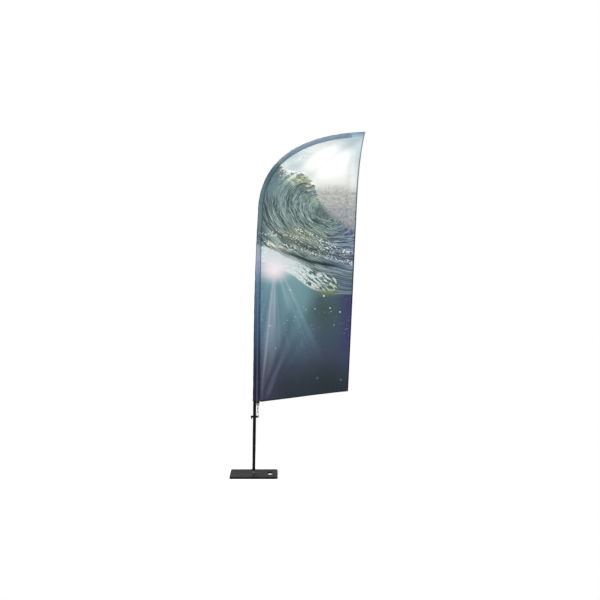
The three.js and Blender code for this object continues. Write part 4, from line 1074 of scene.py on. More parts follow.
def even(points: np.ndarray, count: int) -> np.ndarray:
    """A curve's points again, evenly spaced."""
    steps = np.linalg.norm(np.diff(points, axis=0), axis=1)
    far = np.concatenate([[0.0], np.cumsum(steps)])
    at = np.linspace(0.0, far[-1], count)
    return np.stack([np.interp(at, far, points[:, i]) for i in range(points.shape[1])], axis=-1)


def flat_area(outline: np.ndarray) -> float:
    """The area inside a closed plane outline."""
    x, z = outline.T
    return 0.5 * abs(float(np.dot(x, np.roll(z, -1)) - np.dot(z, np.roll(x, -1))))


def bend(start: np.ndarray, pull: np.ndarray, end: np.ndarray, count: int) -> np.ndarray:
    """A curve from start to end that is drawn towards pull."""
    t = np.linspace(0.0, 1.0, count)[:, None]
    return (1 - t) ** 2 * start + 2 * t * (1 - t) * pull + t**2 * end


def rounded_route(points: np.ndarray, passes: int = 3) -> np.ndarray:
    """Cuts the corners of a route until it runs smoothly, leaving its ends."""
    for _ in range(passes):
        near, far = points[:-1] * 0.75 + points[1:] * 0.25, points[:-1] * 0.25 + points[1:] * 0.75
        cut = np.stack([near, far], axis=1).reshape(-1, points.shape[1])
        points = np.concatenate([points[:1], cut, points[-1:]])
    return points


def lathe(profile: Sequence[tuple[float, float]], segments: int) -> tuple[np.ndarray, list]:
    """Turns a closed profile of radius and height about Z.

    Args:
        profile: radius and height of each corner, counter-clockwise as seen from -Y.
        segments: facets round the axis.

    Returns:
        The points and the faces.
    """
    angles = np.linspace(0.0, 2.0 * math.pi, segments, endpoint=False)
    radius, height = np.array(profile, float).T
    points = np.stack(
        [
            np.outer(radius, np.cos(angles)),
            np.outer(radius, np.sin(angles)),
            np.outer(height, np.ones(segments)),
        ],
        axis=-1,
    )
    closed = np.concatenate([points, points[:1]])
    return closed.reshape(-1, 3), strip_faces(len(profile) + 1, segments, closed=True)


def sweep(route: np.ndarray, radii: np.ndarray, start: Point = (0.0, 1.0, 0.0)) -> tuple[np.ndarray, list]:
    """Runs a ring along a route.

    Args:
        route: the centre line, one point a row.
        radii: the radius at each place on the route and each angle, so one row for each point.
        start: a direction that is never along the route, which the first angle lies in.

    Returns:
        The points and the faces, with both ends closed.
    """
    ways = np.gradient(route, axis=0)
    ways /= np.linalg.norm(ways, axis=1, keepdims=True)
    side = np.cross(ways, np.array(start, float))
    sides = side / np.linalg.norm(side, axis=1, keepdims=True)
    ups = np.cross(sides, ways)
    count = radii.shape[1]
    angles = np.linspace(0.0, 2.0 * math.pi, count, endpoint=False)
    out = sides[:, None] * np.cos(angles)[None, :, None] + ups[:, None] * np.sin(angles)[None, :, None]
    points = (route[:, None] + out * radii[:, :, None]).reshape(-1, 3)
    faces = strip_faces(len(route), count, closed=True)
    faces.append(list(range(count)))
    faces.append([len(points) - count + i for i in range(count)][::-1])
    return points, faces


# ---- The pole's line ------------------------------------------------------------------------------


@dataclass
class PoleLine:
    """The middle line of the pole, which leans and then bows over, and places beside it."""

    lower_top: float = 1.000
    middle_top: float = 1.700
    drift: float = 0.014
    reach: float = 0.5505
    rise: float = 0.479
    start_handle: float = 0.280
    end_handle: float = 0.336
    end_slope: float = math.radians(7.5)
    pivot: float = 0.0861
    grain: int = 600
    step: float = 0.002

    def __post_init__(self) -> None:
        """Measures the line."""
        lift = next(j for j in frame["joints"] if j["name"] == "pole_lift")
        self.lean = math.atan2(lift["axis"][0], lift["axis"][2])
        joint = np.array([0.0, self.lower_top])
        pull = np.array([0.0, (self.lower_top + self.middle_top) / 2.0])
        knee = np.array([self.drift, self.middle_top])
        knee_way = (knee - pull) / np.linalg.norm(knee - pull)
        tip = knee + np.array([self.reach, self.rise])
        tip_way = np.array([math.cos(self.end_slope), math.sin(self.end_slope)])
        t = np.linspace(0.0, 1.0, self.grain)[:, None]
        first, last = knee + knee_way * self.start_handle, tip - tip_way * self.end_handle
        bow = (1 - t) ** 3 * knee + 3 * t * (1 - t) ** 2 * first + 3 * t**2 * (1 - t) * last + t**3 * tip
        self.points = np.concatenate([[[0.0, 0.0]], bend(joint, pull, knee, self.grain), bow[1:]])
        steps = np.linalg.norm(np.diff(self.points, axis=0), axis=1)
        self.lengths = np.concatenate([[0.0], np.cumsum(steps)])
        self.lower_end = self.lower_top
        self.middle_end = float(self.lengths[self.grain])
        self.end = float(self.lengths[-1])
        self.tip = tip

    def leaning(self, x: np.ndarray, y: np.ndarray, z: np.ndarray) -> np.ndarray:
        """Leans points of the pole's own frame into the row frame."""
        x, y, z = np.broadcast_arrays(np.asarray(x, float), np.asarray(y, float), np.asarray(z, float))
        cos, sin = math.cos(self.lean), math.sin(self.lean)
        high = z - self.pivot
        return np.stack([x * cos + high * sin, y, self.pivot + high * cos - x * sin], axis=-1)

    def at(self, s: np.ndarray) -> tuple[np.ndarray, np.ndarray]:
        """X and Z of the pole's axis, in its own frame, at a distance along it."""
        held = np.clip(s, 0.0, self.end)
        x, z = (np.interp(held, self.lengths, self.points[:, i]) for i in (0, 1))
        return x, z

    def beside(self, s: np.ndarray, offset: np.ndarray) -> tuple[np.ndarray, np.ndarray]:
        """A place beside the pole, in the pole's own frame.

        Args:
            s: distance along the pole.
            offset: distance from its axis on the flag's side.

        Returns:
            X and Z.
        """
        s = np.asarray(s, float)
        held = np.clip(s, 0.0, self.end)
        x, z = self.at(held)
        way = [after - before for after, before in zip(self.at(held + self.step), self.at(held - self.step))]
        long = np.hypot(*way)
        wx, wz = way[0] / long, way[1] / long
        past = s - held
        return x + wx * past + wz * offset, z + wz * past - wx * offset

    def place(self, s: np.ndarray, offset: np.ndarray, y: np.ndarray) -> np.ndarray:
        """A place beside the pole, in the row frame."""
        x, z = self.beside(s, offset)
        return self.leaning(x, y, z)


# ---- Stitching ------------------------------------------------------------------------------------


@dataclass
class Stitching:
    """Rows of lockstitch that Geometry Nodes lay along paths."""

    pitch: float = 4.0 * MM
    length: float = 3.2 * MM
    thread: float = 0.75 * MM
    seed: int = 7
    bead_facets: tuple[int, int] = (6, 5)
    unevenness: tuple[float, float] = (0.9, 1.08)

    def tree(self) -> bpy.types.NodeTree:
        """Returns the node tree that turns edges into stitches, made once."""
        known = bpy.data.node_groups.get("stitch_rows")
        if known is not None:
            return known
        tree = bpy.data.node_groups.new("stitch_rows", "GeometryNodeTree")
        sockets = (
            ("Paths", "NodeSocketGeometry"), ("Pitch", "NodeSocketFloat"), ("Length", "NodeSocketFloat"),
            ("Thread", "NodeSocketFloat"), ("Seed", "NodeSocketInt"), ("Material", "NodeSocketMaterial"),
        )
        for name, kind in sockets:
            tree.interface.new_socket(name=name, in_out="INPUT", socket_type=kind)
        tree.interface.new_socket(name="Stitches", in_out="OUTPUT", socket_type="NodeSocketGeometry")
        add, link = tree.nodes.new, tree.links.new
        inputs, outputs = add("NodeGroupInput"), add("NodeGroupOutput")
        line = add("GeometryNodeMeshToCurve")
        dots = add("GeometryNodeCurveToPoints")
        dots.mode = "LENGTH"
        bead = add("GeometryNodeMeshUVSphere")
        bead.inputs["Segments"].default_value, bead.inputs["Rings"].default_value = self.bead_facets
        bead.inputs["Radius"].default_value = 0.5
        size = add("ShaderNodeCombineXYZ")
        uneven = add("FunctionNodeRandomValue")
        uneven.data_type = "FLOAT"
        lowest, highest = (s for s in uneven.inputs if s.name in ("Min", "Max") and s.type == "VALUE")
        lowest.default_value, highest.default_value = self.unevenness
        grow = add("ShaderNodeVectorMath")
        grow.operation = "SCALE"
        place = add("GeometryNodeInstanceOnPoints")
        real = add("GeometryNodeRealizeInstances")
        shade = add("GeometryNodeSetShadeSmooth")
        coat = add("GeometryNodeSetMaterial")
        link(inputs.outputs["Paths"], line.inputs[0])
        link(line.outputs[0], dots.inputs["Curve"])
        link(inputs.outputs["Pitch"], dots.inputs["Length"])
        link(dots.outputs["Points"], place.inputs["Points"])
        link(dots.outputs["Rotation"], place.inputs["Rotation"])
        link(bead.outputs[0], place.inputs["Instance"])
        for socket in ("X", "Y"):
            link(inputs.outputs["Thread"], size.inputs[socket])
        link(inputs.outputs["Length"], size.inputs["Z"])
        link(size.outputs[0], grow.inputs[0])
        link(inputs.outputs["Seed"], uneven.inputs["Seed"])
        link(next(s for s in uneven.outputs if s.type == "VALUE"), grow.inputs["Scale"])
        link(grow.outputs[0], place.inputs["Scale"])
        link(place.outputs[0], real.inputs[0])
        link(real.outputs[0], shade.inputs[0])
        link(shade.outputs[0], coat.inputs[0])
        link(inputs.outputs["Material"], coat.inputs["Material"])
        link(coat.outputs[0], outputs.inputs[0])
        return tree

    def sew(self, name: str, rows: Sequence[np.ndarray], thread: Finish) -> bpy.types.Object:
        """Sews along paths.

        Args:
            name: the piece's name.
            rows: the paths, each with one point a row.
            thread: the thread's finish.

        Returns:
            A plain mesh object of all the stitches.
        """
        edges, count = [], 0
        for row in rows:
            edges += [(count + i, count + i + 1) for i in range(len(row) - 1)]
            count += len(row)
        path = bpy.data.meshes.new(name + "_path")
        path.from_pydata(np.concatenate(rows).tolist(), edges, [])
        guide = bpy.data.objects.new(name + "_guide", path)
        bpy.context.scene.collection.objects.link(guide)
        rule = guide.modifiers.new("stitches", "NODES")
        rule.node_group = self.tree()
        values = {
            "Pitch": self.pitch, "Length": self.length, "Thread": self.thread, "Seed": self.seed,
            "Material": thread.material(),
        }
        for item in rule.node_group.interface.items_tree:
            if item.name in values and item.in_out == "INPUT":
                rule[item.identifier] = values[item.name]
        bpy.context.view_layer.update()
        ready = guide.evaluated_get(bpy.context.evaluated_depsgraph_get())
        mesh = bpy.data.meshes.new_from_object(ready)
        mesh.name = name
        bpy.data.objects.remove(guide)
        piece = bpy.data.objects.new(name, mesh)
        bpy.context.scene.collection.objects.link(piece)
        return piece


# ---- Flag -----------------------------------------------------------------------------------------


@dataclass
class FlagShape:
    """The flag's outline beside the pole, and how its cloth stands out of its plane."""

    line: PoleLine
    mouth: float = 0.470
    pole_radius: float = 0.010
    cap_radius: float = 0.0035
    slack: float = 0.0025
    low_width: float = 0.048
    bow_width: float = 0.030
    gap: float = 0.0003
    pocket_length: float = 0.024
    corner_drop: float = 0.005
    horn: tuple[float, float] = (0.116, 0.014)
    flare: tuple[float, float] = (0.045, 0.404)
    flare_slope: float = 0.25
    taper: float = 0.042
    corner_rise: float = 0.070
    bottom_pull: tuple[float, float] = (0.074, 0.005)
    binding: float = 0.008
    past_tip: float = 0.004
    tip_room: float = 0.0015
    narrows_from: float = 0.006
    free_grain: int = 60
    bottom_grain: int = 80
    billow: float = 0.0065
    sway: float = 0.0042
    pull_line: float = 0.0042
    pulled_from: tuple[float, float] = (0.030, 0.455)
    edge_fold: float = 0.0035
    arch_ripple: float = 0.0028
    corner_hang: float = 0.0030
    seam_pucker: float = 0.0011

    def __post_init__(self) -> None:
        """Works out the corners, in the pole's own frame."""
        self.sleeve_end = self.line.end + self.past_tip + self.tip_room
        self.pocket_start = self.sleeve_end + self.gap
        self.pocket_end = self.pocket_start + self.pocket_length
        tip_x, tip_z = self.line.tip
        self.horn_at = np.array([tip_x + self.horn[0], tip_z + self.horn[1]])
        self.flare_at = self.horn_at - np.array(self.flare)
        drop = self.flare[1] / 3.0
        self.flare_pull = self.horn_at - np.array([drop * self.flare_slope, drop])
        self.free_corner = np.array([self.flare_at[0] - self.taper, self.mouth + self.corner_rise])
        self.pull = self.free_corner - np.array(self.bottom_pull)
        self.start = np.array([self.seam(self.mouth) + self.gap, self.mouth - self.corner_drop])

    def round_side(self, s: np.ndarray) -> np.ndarray:
        """Radius of the sleeve's round side at a distance along the pole."""
        begin = self.line.lower_end + self.narrows_from
        share = np.clip((np.asarray(s, float) - begin) / (self.sleeve_end - begin), 0.0, 1.0)
        return self.pole_radius + (self.cap_radius - self.pole_radius) * share + self.slack

    def seam(self, s: np.ndarray) -> np.ndarray:
        """Distance from the pole's axis to the sleeve's seam."""
        share = np.clip((np.asarray(s, float) - self.mouth) / (self.line.middle_end - self.mouth), 0.0, 1.0)
        return self.low_width + (self.bow_width - self.low_width) * share - self.round_side(s)

    def free_edge(self, inset: float, count: int) -> np.ndarray:
        """The free edge from the lower corner to the horn, moved inwards, as X and Z."""
        flared = bend(self.flare_at, self.flare_pull, self.horn_at, self.free_grain)
        return even(moved(np.concatenate([[self.free_corner], flared]), inset), count)

    def bottom_edge(self, inset: float, count: int) -> np.ndarray:
        """The bottom edge from the sleeve to the lower free corner, moved inwards, as X and Z."""
        return even(moved(bend(self.start, self.pull, self.free_corner, self.bottom_grain), inset), count)

    def relief(self, x: np.ndarray, z: np.ndarray, off: np.ndarray) -> np.ndarray:
        """How far the cloth stands behind its plane.

        Args:
            x, z: the place, in the pole's own frame.
            off: distance from the seam.

        Returns:
            The offset along Y.
        """
        x, z, off = (np.asarray(value, float) for value in (x, z, off))
        high = np.clip((z - 0.45) / 1.75, 0.0, 1.0)
        billow = self.billow * np.sin(math.pi * high) * np.sin(math.pi * np.clip(off / 0.66, 0.0, 1.0))
        sway = self.sway * ripple(0.85 * x + 0.30 * z, 0.47, 0.5)
        dx, dz = x - self.pulled_from[0], z - self.pulled_from[1]
        far, angle = np.hypot(dx, dz), np.arctan2(dz, dx)
        fan = self.pull_line * np.sin(angle * 33.0 + 0.8 * np.sin(far * 5.0)) * hump(angle, 1.27, 0.24)
        fan = fan * ease(0.02, 0.14, far) * (1.0 - ease(0.42, 0.98, far))
        fold = self.edge_fold * hump(x, 0.592 + 0.05 * (z - 1.9), 0.020)
        fold = fold * ease(1.35, 1.65, z) * (1.0 - ease(1.98, 2.14, z))
        arch = self.arch_ripple * ripple(x * 0.9 - z, 0.16) * ease(1.72, 1.95, z) * ease(0.36, 0.10, off)
        corner = np.hypot(x - self.free_corner[0], z - self.free_corner[1])
        hang = self.corner_hang * ripple(x + 0.25 * z, 0.21) * (1.0 - ease(0.05, 0.55, corner))
        return ease(0.0, 0.12, off) * (billow + sway + fold + arch + hang) + ease(0.0, 0.035, off) * fan

    def pucker(self, s: np.ndarray, off: np.ndarray) -> np.ndarray:
        """The small gathers that the seam's thread draws in."""
        wave = ripple(s, 0.031, 1.4 * ripple(s, 0.23))
        return self.seam_pucker * wave * np.exp(-off / 0.020) * ease(0.0, 0.006, off)


@dataclass
class CornerTab:
    """The webbing tab under the flag's corner, its rolled eyelet and the stitches that hold it.

    The section is the share of the way from the hole to the rim, and the share of half the
    thickness. The flange's section is measured from its outer corner.
    """

    section: Line = (
        (0.0, -1.0), (0.92, -1.0), (0.98, -0.8), (1.0, -0.4),
        (1.0, 0.4), (0.98, 0.8), (0.92, 1.0), (0.0, 1.0),
    )
    sewn_in: float = 14.0 * MM
    narrowed: tuple[float, float] = (3.0 * MM, 4.0 * MM)
    hole_share: float = 0.68
    tip_turn: float = 0.12 * math.pi
    tip_points: int = 30
    outline_points: int = 120
    thinned: float = 0.62
    thinned_over: tuple[float, float] = (-2.0 * MM, 4.0 * MM)
    flange: Line = ((-0.5 * MM, 0.0), (0.0, -0.35 * MM), (-0.2 * MM, -0.8 * MM))
    bore_share: float = 0.6
    wall: float = 0.7 * MM
    roll_room: float = 1.8 * MM
    curl_points: int = 5
    segments: int = 48
    stitch_drop: float = 1.6 * MM
    stitch_side: float = 3.0 * MM
    stitch_lift: float = 0.05 * MM
    stitch_points: int = 12

    def webbing(self) -> bpy.types.Object:
        """A tab with a round tip and a hole, whose top is sewn in between the sleeve's two walls."""
        low, high = (np.array(corner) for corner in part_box("corner_tab"))
        ring_low, ring_high = (np.array(corner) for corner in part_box("tab_eyelet"))
        middle, hole = (ring_low + ring_high) / 2.0, (ring_high[0] - ring_low[0]) / 2.0 * self.hole_share
        tip, half, thick = middle[2] - low[2], (high[0] - low[0]) / 2.0, (high[1] - low[1]) / 2.0
        rise, (left, right), (begin, end) = high[2] - middle[2], self.narrowed, self.thinned_over
        top = rise + self.sewn_in
        corners = [(-half, rise), (-half + left, top), (half - right, top), (half, rise)]
        turn = np.linspace(self.tip_turn, -math.pi - self.tip_turn, self.tip_points)
        arc = [(tip * math.cos(a), tip * math.sin(a)) for a in turn]
        outline = even(np.array(corners + arc + corners[:1]), self.outline_points)[:-1]
        angle = np.arctan2(outline[:, 1], outline[:, 0])
        inner = np.stack([hole * np.cos(angle), hole * np.sin(angle)], axis=-1)
        rings = []
        for share, side in self.section:
            place = inner * (1 - share) + outline * share
            thin = 1.0 - self.thinned * ease(rise + begin, rise + end, place[:, 1])
            rings.append(np.stack([place[:, 0], side * thick * thin, place[:, 1]], axis=-1) + middle)
        count = len(outline)
        faces = strip_faces(len(rings), count, closed=True)
        last = (len(rings) - 1) * count
        faces += [[last + i, last + (i + 1) % count, (i + 1) % count, i] for i in range(count)]
        piece = add_piece("webbing_tab", np.array(rings), faces, WEBBING)
        outward(piece)
        return piece

    def eyelet(self) -> bpy.types.Object:
        """A metal ring whose two flanges are rolled over the webbing."""
        low, high = (np.array(corner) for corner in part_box("tab_eyelet"))
        middle, radius, half = (low + high) / 2.0, (high[0] - low[0]) / 2.0, (high[1] - low[1]) / 2.0
        hole, roll = radius * self.bore_share, half - self.roll_room
        curl = np.linspace(0.0, 0.5 * math.pi, self.curl_points)
        upper = [(hole + roll - roll * math.cos(a), half - roll + roll * math.sin(a)) for a in curl]
        upper += [(radius + out, half + up) for out, up in self.flange]
        upper.append((hole + self.wall, upper[-1][1]))
        lower = [(r, -h) for r, h in reversed(upper)]
        points, faces = lathe(lower[-1:] + upper + lower[:-1], self.segments)
        placed = np.stack([points[:, 0], points[:, 2], points[:, 1]], axis=-1) + middle
        piece = add_piece("rolled_eyelet", placed, faces, EYELET_BLACK)
        outward(piece)
        return piece

    def build(self) -> None:
        """Makes the tab, its eyelet and its stitches."""
        fit(self.webbing(), Body.POLE, "dark_tape", "corner_tab")
        fit(self.eyelet(), Body.POLE, "zinc_steel", "tab_eyelet")
        low, high = (np.array(corner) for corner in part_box("corner_tab"))
        across = np.linspace(low[0] + self.stitch_side, high[0] - self.stitch_side, self.stitch_points)
        top = np.full(self.stitch_points, high[2] - self.stitch_drop)
        faces = (low[1] - self.stitch_lift, high[1] + self.stitch_lift)
        rows = [np.stack([across, np.full(self.stitch_points, y), top], axis=-1) for y in faces]
        small = Stitching(2.6 * MM, 2.1 * MM, 0.6 * MM)
        fit(small.sew("tab_stitches", rows, DARK_THREAD), Body.POLE, "dark_tape")


@dataclass
class Flag:
    """The printed panel, its edge tapes and its corner tab."""

    shape: FlagShape
    stitching: Stitching
    rows: int = 331
    columns: int = 106
    jog: int = 6
    cloth: float = 0.6 * MM
    tape: float = 1.9 * MM
    tucked: float = 2.0 * MM
    fold_steps: int = 7
    blunt: float = 0.8
    free_points: int = 300
    free_off: float = 0.5
    horn_off: float = 0.10
    horn_points: int = 60
    bottom_draft: int = 130
    bottom_points: int = 120
    stitch_depths: tuple[float, float] = (0.0035, 0.0065)

    def __post_init__(self) -> None:
        """Keeps the pole's line at hand."""
        self.line = self.shape.line

    def panel(self) -> bpy.types.Object:
        """Spans the cloth between the seam, the free edge and the bottom edge."""
        shape, inset, tuck, jog = self.shape, self.shape.binding - self.tucked, self.tucked, self.jog
        right = shape.free_edge(inset, self.rows)
        bottom = shape.bottom_edge(inset, self.columns)
        left_end = shape.start[0] - tuck
        stretch = (right[0, 0] - left_end) / (bottom[-1, 0] - bottom[0, 0])
        bottom[:, 0] = left_end + (bottom[:, 0] - bottom[0, 0]) * stretch
        right[0] = bottom[-1]
        s = np.linspace(shape.mouth, shape.pocket_end + shape.gap, self.rows - jog)
        near = np.minimum(s, shape.sleeve_end)
        left = np.stack(shape.line.beside(s, shape.seam(near) - tuck), axis=-1)
        left[0] = bottom[0]
        rise = np.linspace(shape.seam(shape.sleeve_end), -shape.round_side(shape.sleeve_end), jog + 1)[1:]
        top = np.stack(shape.line.beside(np.full(jog, s[-1]), rise), axis=-1)
        left = np.concatenate([left, top])
        along = np.concatenate([s, np.full(jog, s[-1])])
        u = np.linspace(0.0, 1.0, self.columns)[None, :, None]
        v = np.linspace(0.0, 1.0, self.rows)[:, None, None]
        chord = bottom[0] * (1 - u) + bottom[-1] * u
        flat = left[:, None] * (1 - u) + right[:, None] * u + (1 - v) * (bottom[None] - chord)
        off = np.maximum(np.linalg.norm(flat - left[:, None], axis=-1) - tuck, 0.0)
        y = shape.relief(flat[..., 0], flat[..., 1], off) + shape.pucker(along[:, None], off)
        points = self.line.leaning(flat[..., 0], y, flat[..., 1])
        faces = strip_faces(self.rows, self.columns)
        piece = add_piece("printed_panel", points, faces, FLAG_CLOTH, sharp=180.0)
        thicken(piece, self.cloth)
        fit(piece, Body.POLE, "printed_cloth", "flag_panel")
        outline = np.concatenate([bottom, right[1:], left[::-1][:-1]])
        self.area = flat_area(outline)
        low, high = outline.min(axis=0), outline.max(axis=0)
        self.cut = tuple(float(v) for v in high - low)
        return piece

    def edge_tape(self, name: str, node: str, edge: np.ndarray, off: np.ndarray) -> bpy.types.Object:
        """Folds a tape round an edge of the cloth.

        Args:
            name: the piece's name.
            node: the CAD node that it stands for.
            edge: the cloth's outer edge, as X and Z, with the cloth on its left.
            off: distance of each point from the seam.

        Returns:
            The object.
        """
        half, wide, blunt = self.tape / 2.0, self.shape.binding, self.blunt
        turn = np.linspace(-0.5 * math.pi, 0.5 * math.pi, self.fold_steps)
        section = [(wide, -half * blunt), (wide * blunt, -half)]
        section += [(half - half * math.cos(a), half * math.sin(a)) for a in turn]
        section += [(wide * blunt, half), (wide, half * blunt)]
        rings = []
        for depth, thick in section:
            place = moved(edge, depth)
            y = self.shape.relief(place[:, 0], place[:, 1], off) + thick
            rings.append(self.line.leaning(place[:, 0], y, place[:, 1]))
        points = np.stack(rings, axis=1)
        count = len(section)
        faces = strip_faces(len(edge), count, closed=True)
        faces += [list(range(count))[::-1], [(len(edge) - 1) * count + i for i in range(count)]]
        piece = add_piece(name, points, faces, TAPE)
        outward(piece)
        return fit(piece, Body.POLE, "dark_tape", node)

    def tapes(self) -> list[bpy.types.Object]:
        """Binds the free edge and the bottom edge, and sews the bindings.

        Returns:
            The two tapes.
        """
        shape = self.shape
        free = shape.free_edge(0.0, self.free_points)
        free_off = np.full(len(free), self.free_off)
        free_off[-self.horn_points:] = np.linspace(self.free_off, self.horn_off, self.horn_points)
        bottom = shape.bottom_edge(0.0, self.bottom_draft)
        limit = shape.free_corner[0] - shape.binding - shape.gap
        bottom = even(bottom[bottom[:, 0] < limit], self.bottom_points)
        bottom_off = bottom[:, 0] - bottom[0, 0]
        made = [
            self.edge_tape("free_edge_tape", "free_edge_binding", free, free_off),
            self.edge_tape("bottom_edge_tape", "bottom_edge_binding", bottom, bottom_off),
        ]
        rows = []
        for edge, off in ((free, free_off), (bottom, bottom_off)):
            for depth in self.stitch_depths:
                place = moved(edge, depth)
                middle = shape.relief(place[:, 0], place[:, 1], off)
                for face in (-1.0, 1.0):
                    y = middle + face * (self.tape / 2.0)
                    rows.append(self.line.leaning(place[:, 0], y, place[:, 1])[2:-2])
        fit(self.stitching.sew("tape_stitches", rows, DARK_THREAD), Body.POLE, "dark_tape")
        return made

    def build(self) -> None:
        """Makes the flag."""
        panel = self.panel()
        tapes = self.tapes()
        CornerTab().build()


@dataclass
class Sleeve:
    """The pocket that the pole fills, its seam and the webbing that closes it at the tip."""

    shape: FlagShape
    stitching: Stitching
    rows: int = 340
    cloth: float = 0.5 * MM
    half_seam: float = 0.001
    steepest: float = 0.9
    arc_points: int = 27
    flank_points: int = 8
    hem: float = 0.014
    hem_rise: float = 0.0004
    heart: float = 0.3
    wrinkle: float = 0.00034
    drag: float = 0.0003
    bow_rib: float = 0.0003
    seam_points: int = 460
    seam_ends: float = 0.003
    seam_depths: tuple[float, float] = (0.0025, 0.0085)
    seam_lift: float = 0.0001
    hem_lift: float = 0.0005
    pocket: Rounded = Rounded(
        "sleeve_tip_pocket", "tip_pocket_webbing", POCKET_WEBBING, 1.1 * MM, 4, Body.POLE, "sleeve_cloth"
    )
    pocket_edge: float = 0.003
    pocket_face: float = 2.05 * MM
    pocket_run: tuple[float, float, int] = (0.06, 0.94, 10)

    def shoulder(self, radius: np.ndarray | float, seam: np.ndarray | float) -> np.ndarray | float:
        """The angle about the pole where the round side runs on into the flat ones."""
        return np.arccos(np.minimum(self.steepest, (radius - self.half_seam) / seam))

    def section(self, s: float) -> np.ndarray:
        """One drop-shaped section: round about the pole and flat at the seam.

        Args:
            s: distance along the pole.

        Returns:
            Offsets from the pole's axis, towards the flag and along Y.
        """
        radius, seam = float(self.shape.round_side(s)), float(self.shape.seam(s))
        shoulder = self.shoulder(radius, seam)
        angles = np.linspace(shoulder, 2 * math.pi - shoulder, self.arc_points)
        arc = np.stack([radius * np.cos(angles), radius * np.sin(angles)], axis=-1)
        share = np.linspace(0.0, 1.0, self.flank_points)[:-1, None]
        flank = np.array([seam, self.half_seam]) * (1 - share) + arc[0] * share
        back = flank[::-1] * np.array([1.0, -1.0])
        return np.concatenate([flank, arc, back])

    def wrinkles(self, s: np.ndarray, turn: np.ndarray) -> np.ndarray:
        """How far the sleeve's cloth stands off its taut shape."""
        slow = ripple(s, 0.085, 2.0 * turn) + 0.6 * ripple(s, 0.047, 1.0 - 3.0 * turn)
        drag = ripple(s, 0.21, 4.0 * turn + 0.5 * np.sin(s * 19.0))
        bow = ease(self.shape.line.middle_end - 0.1, self.shape.line.middle_end + 0.15, s)
        ribs = ripple(s, 0.036, 0.8 * np.sin(s * 31.0)) * bow
        return self.wrinkle * slow + self.drag * drag + self.bow_rib * ribs

    def tube(self) -> bpy.types.Object:
        """Draws the cloth round the pole, from the mouth to the tip."""
        shape = self.shape
        s = np.linspace(shape.mouth, shape.sleeve_end, self.rows)
        seam = shape.seam(s)[:, None]
        sections = np.stack([self.section(value) for value in s])
        count = sections.shape[1]
        turn = np.linspace(-math.pi, math.pi, count)[None, :]
        out = sections - (np.array([self.heart, 0.0]) * seam)[:, None, :]
        free = ease(0.0, 0.012, np.abs(sections[..., 0] - seam))
        hem = self.hem_rise * (1.0 - ease(self.hem - 0.001, self.hem + 0.002, s - shape.mouth))[:, None]
        shift = self.wrinkles(s[:, None], turn) * free + hem
        sections = sections + out / np.linalg.norm(out, axis=-1)[..., None] * shift[..., None]
        points = shape.line.place(s[:, None], sections[..., 0], sections[..., 1])
        faces = strip_faces(self.rows, count, closed=True)
        faces.append([(self.rows - 1) * count + i for i in range(count)])
        piece = add_piece("pole_sleeve_cloth", points, faces, SLEEVE_CLOTH, sharp=70.0)
        outward(piece, weld=False)
        low = -shape.round_side(s)[:, None]
        across = (sections[..., 0] - low) / (seam - low)
        piece.data.attributes.new(ACROSS, "FLOAT", "POINT").data.foreach_set("value", across.ravel())
        thicken(piece, self.cloth, -1.0)
        around = np.linalg.norm(np.diff(sections, axis=1, append=sections[:, :1]), axis=-1).sum(axis=1)
        length = shape.sleeve_end - shape.mouth
        self.cut = (float(around.max()), length)
        self.area = float(around.mean()) * length
        return fit(piece, Body.POLE, "sleeve_cloth", "pole_sleeve")

    def build(self) -> None:
        """Makes the sleeve, its seam stitches and the tip pocket."""
        piece = self.tube()
        self.pocket.make()
        self.sew_sleeve()
        self.sew_pocket()

    def sew_sleeve(self) -> None:
        """Sews the seam and the mouth's hem."""
        shape, line = self.shape, self.shape.line
        s = np.linspace(shape.mouth + self.seam_ends, shape.sleeve_end - self.seam_ends, self.seam_points)
        radius, seam = shape.round_side(s), shape.seam(s)
        shoulder = self.shoulder(radius, seam)
        rows = []
        for depth in self.seam_depths:
            run = depth / (seam - radius * np.cos(shoulder))
            y = self.half_seam + (radius * np.sin(shoulder) - self.half_seam) * run + self.seam_lift
            rows += [line.place(s, seam - depth, face * y) for face in (-1.0, 1.0)]
        hem_at = shape.mouth + self.hem
        ring = self.section(hem_at)
        ring = ring * (1.0 + self.hem_lift / np.linalg.norm(ring, axis=-1, keepdims=True))
        rows.append(line.place(np.full(len(ring), hem_at), ring[:, 0], ring[:, 1]))
        fit(self.stitching.sew("sleeve_stitches", rows, SEAM_THREAD), Body.POLE, "sleeve_cloth")

    def sew_pocket(self) -> None:
        """Sews a box with a diagonal through the pocket."""
        shape, edge = self.shape, self.pocket_edge
        first, last = shape.pocket_start + edge, shape.pocket_end - edge
        low = -float(shape.round_side(shape.sleeve_end)) + edge
        high = float(shape.seam(shape.sleeve_end)) - edge
        corners = ((first, low), (last, low), (last, high), (first, high), (first, low), (last, high))
        share = np.linspace(*self.pocket_run)
        rows = []
        for face in (-1.0, 1.0):
            y = np.full(len(share), face * self.pocket_face)
            for (s0, o0), (s1, o1) in zip(corners, corners[1:]):
                rows.append(shape.line.place(s0 + (s1 - s0) * share, o0 + (o1 - o0) * share, y))
        small = Stitching(2.8 * MM, 2.2 * MM, 0.6 * MM)
        fit(small.sew("pocket_stitches", rows, SEAM_THREAD), Body.POLE, "sleeve_cloth")


# ---- Pole -----------------------------------------------------------------------------------------


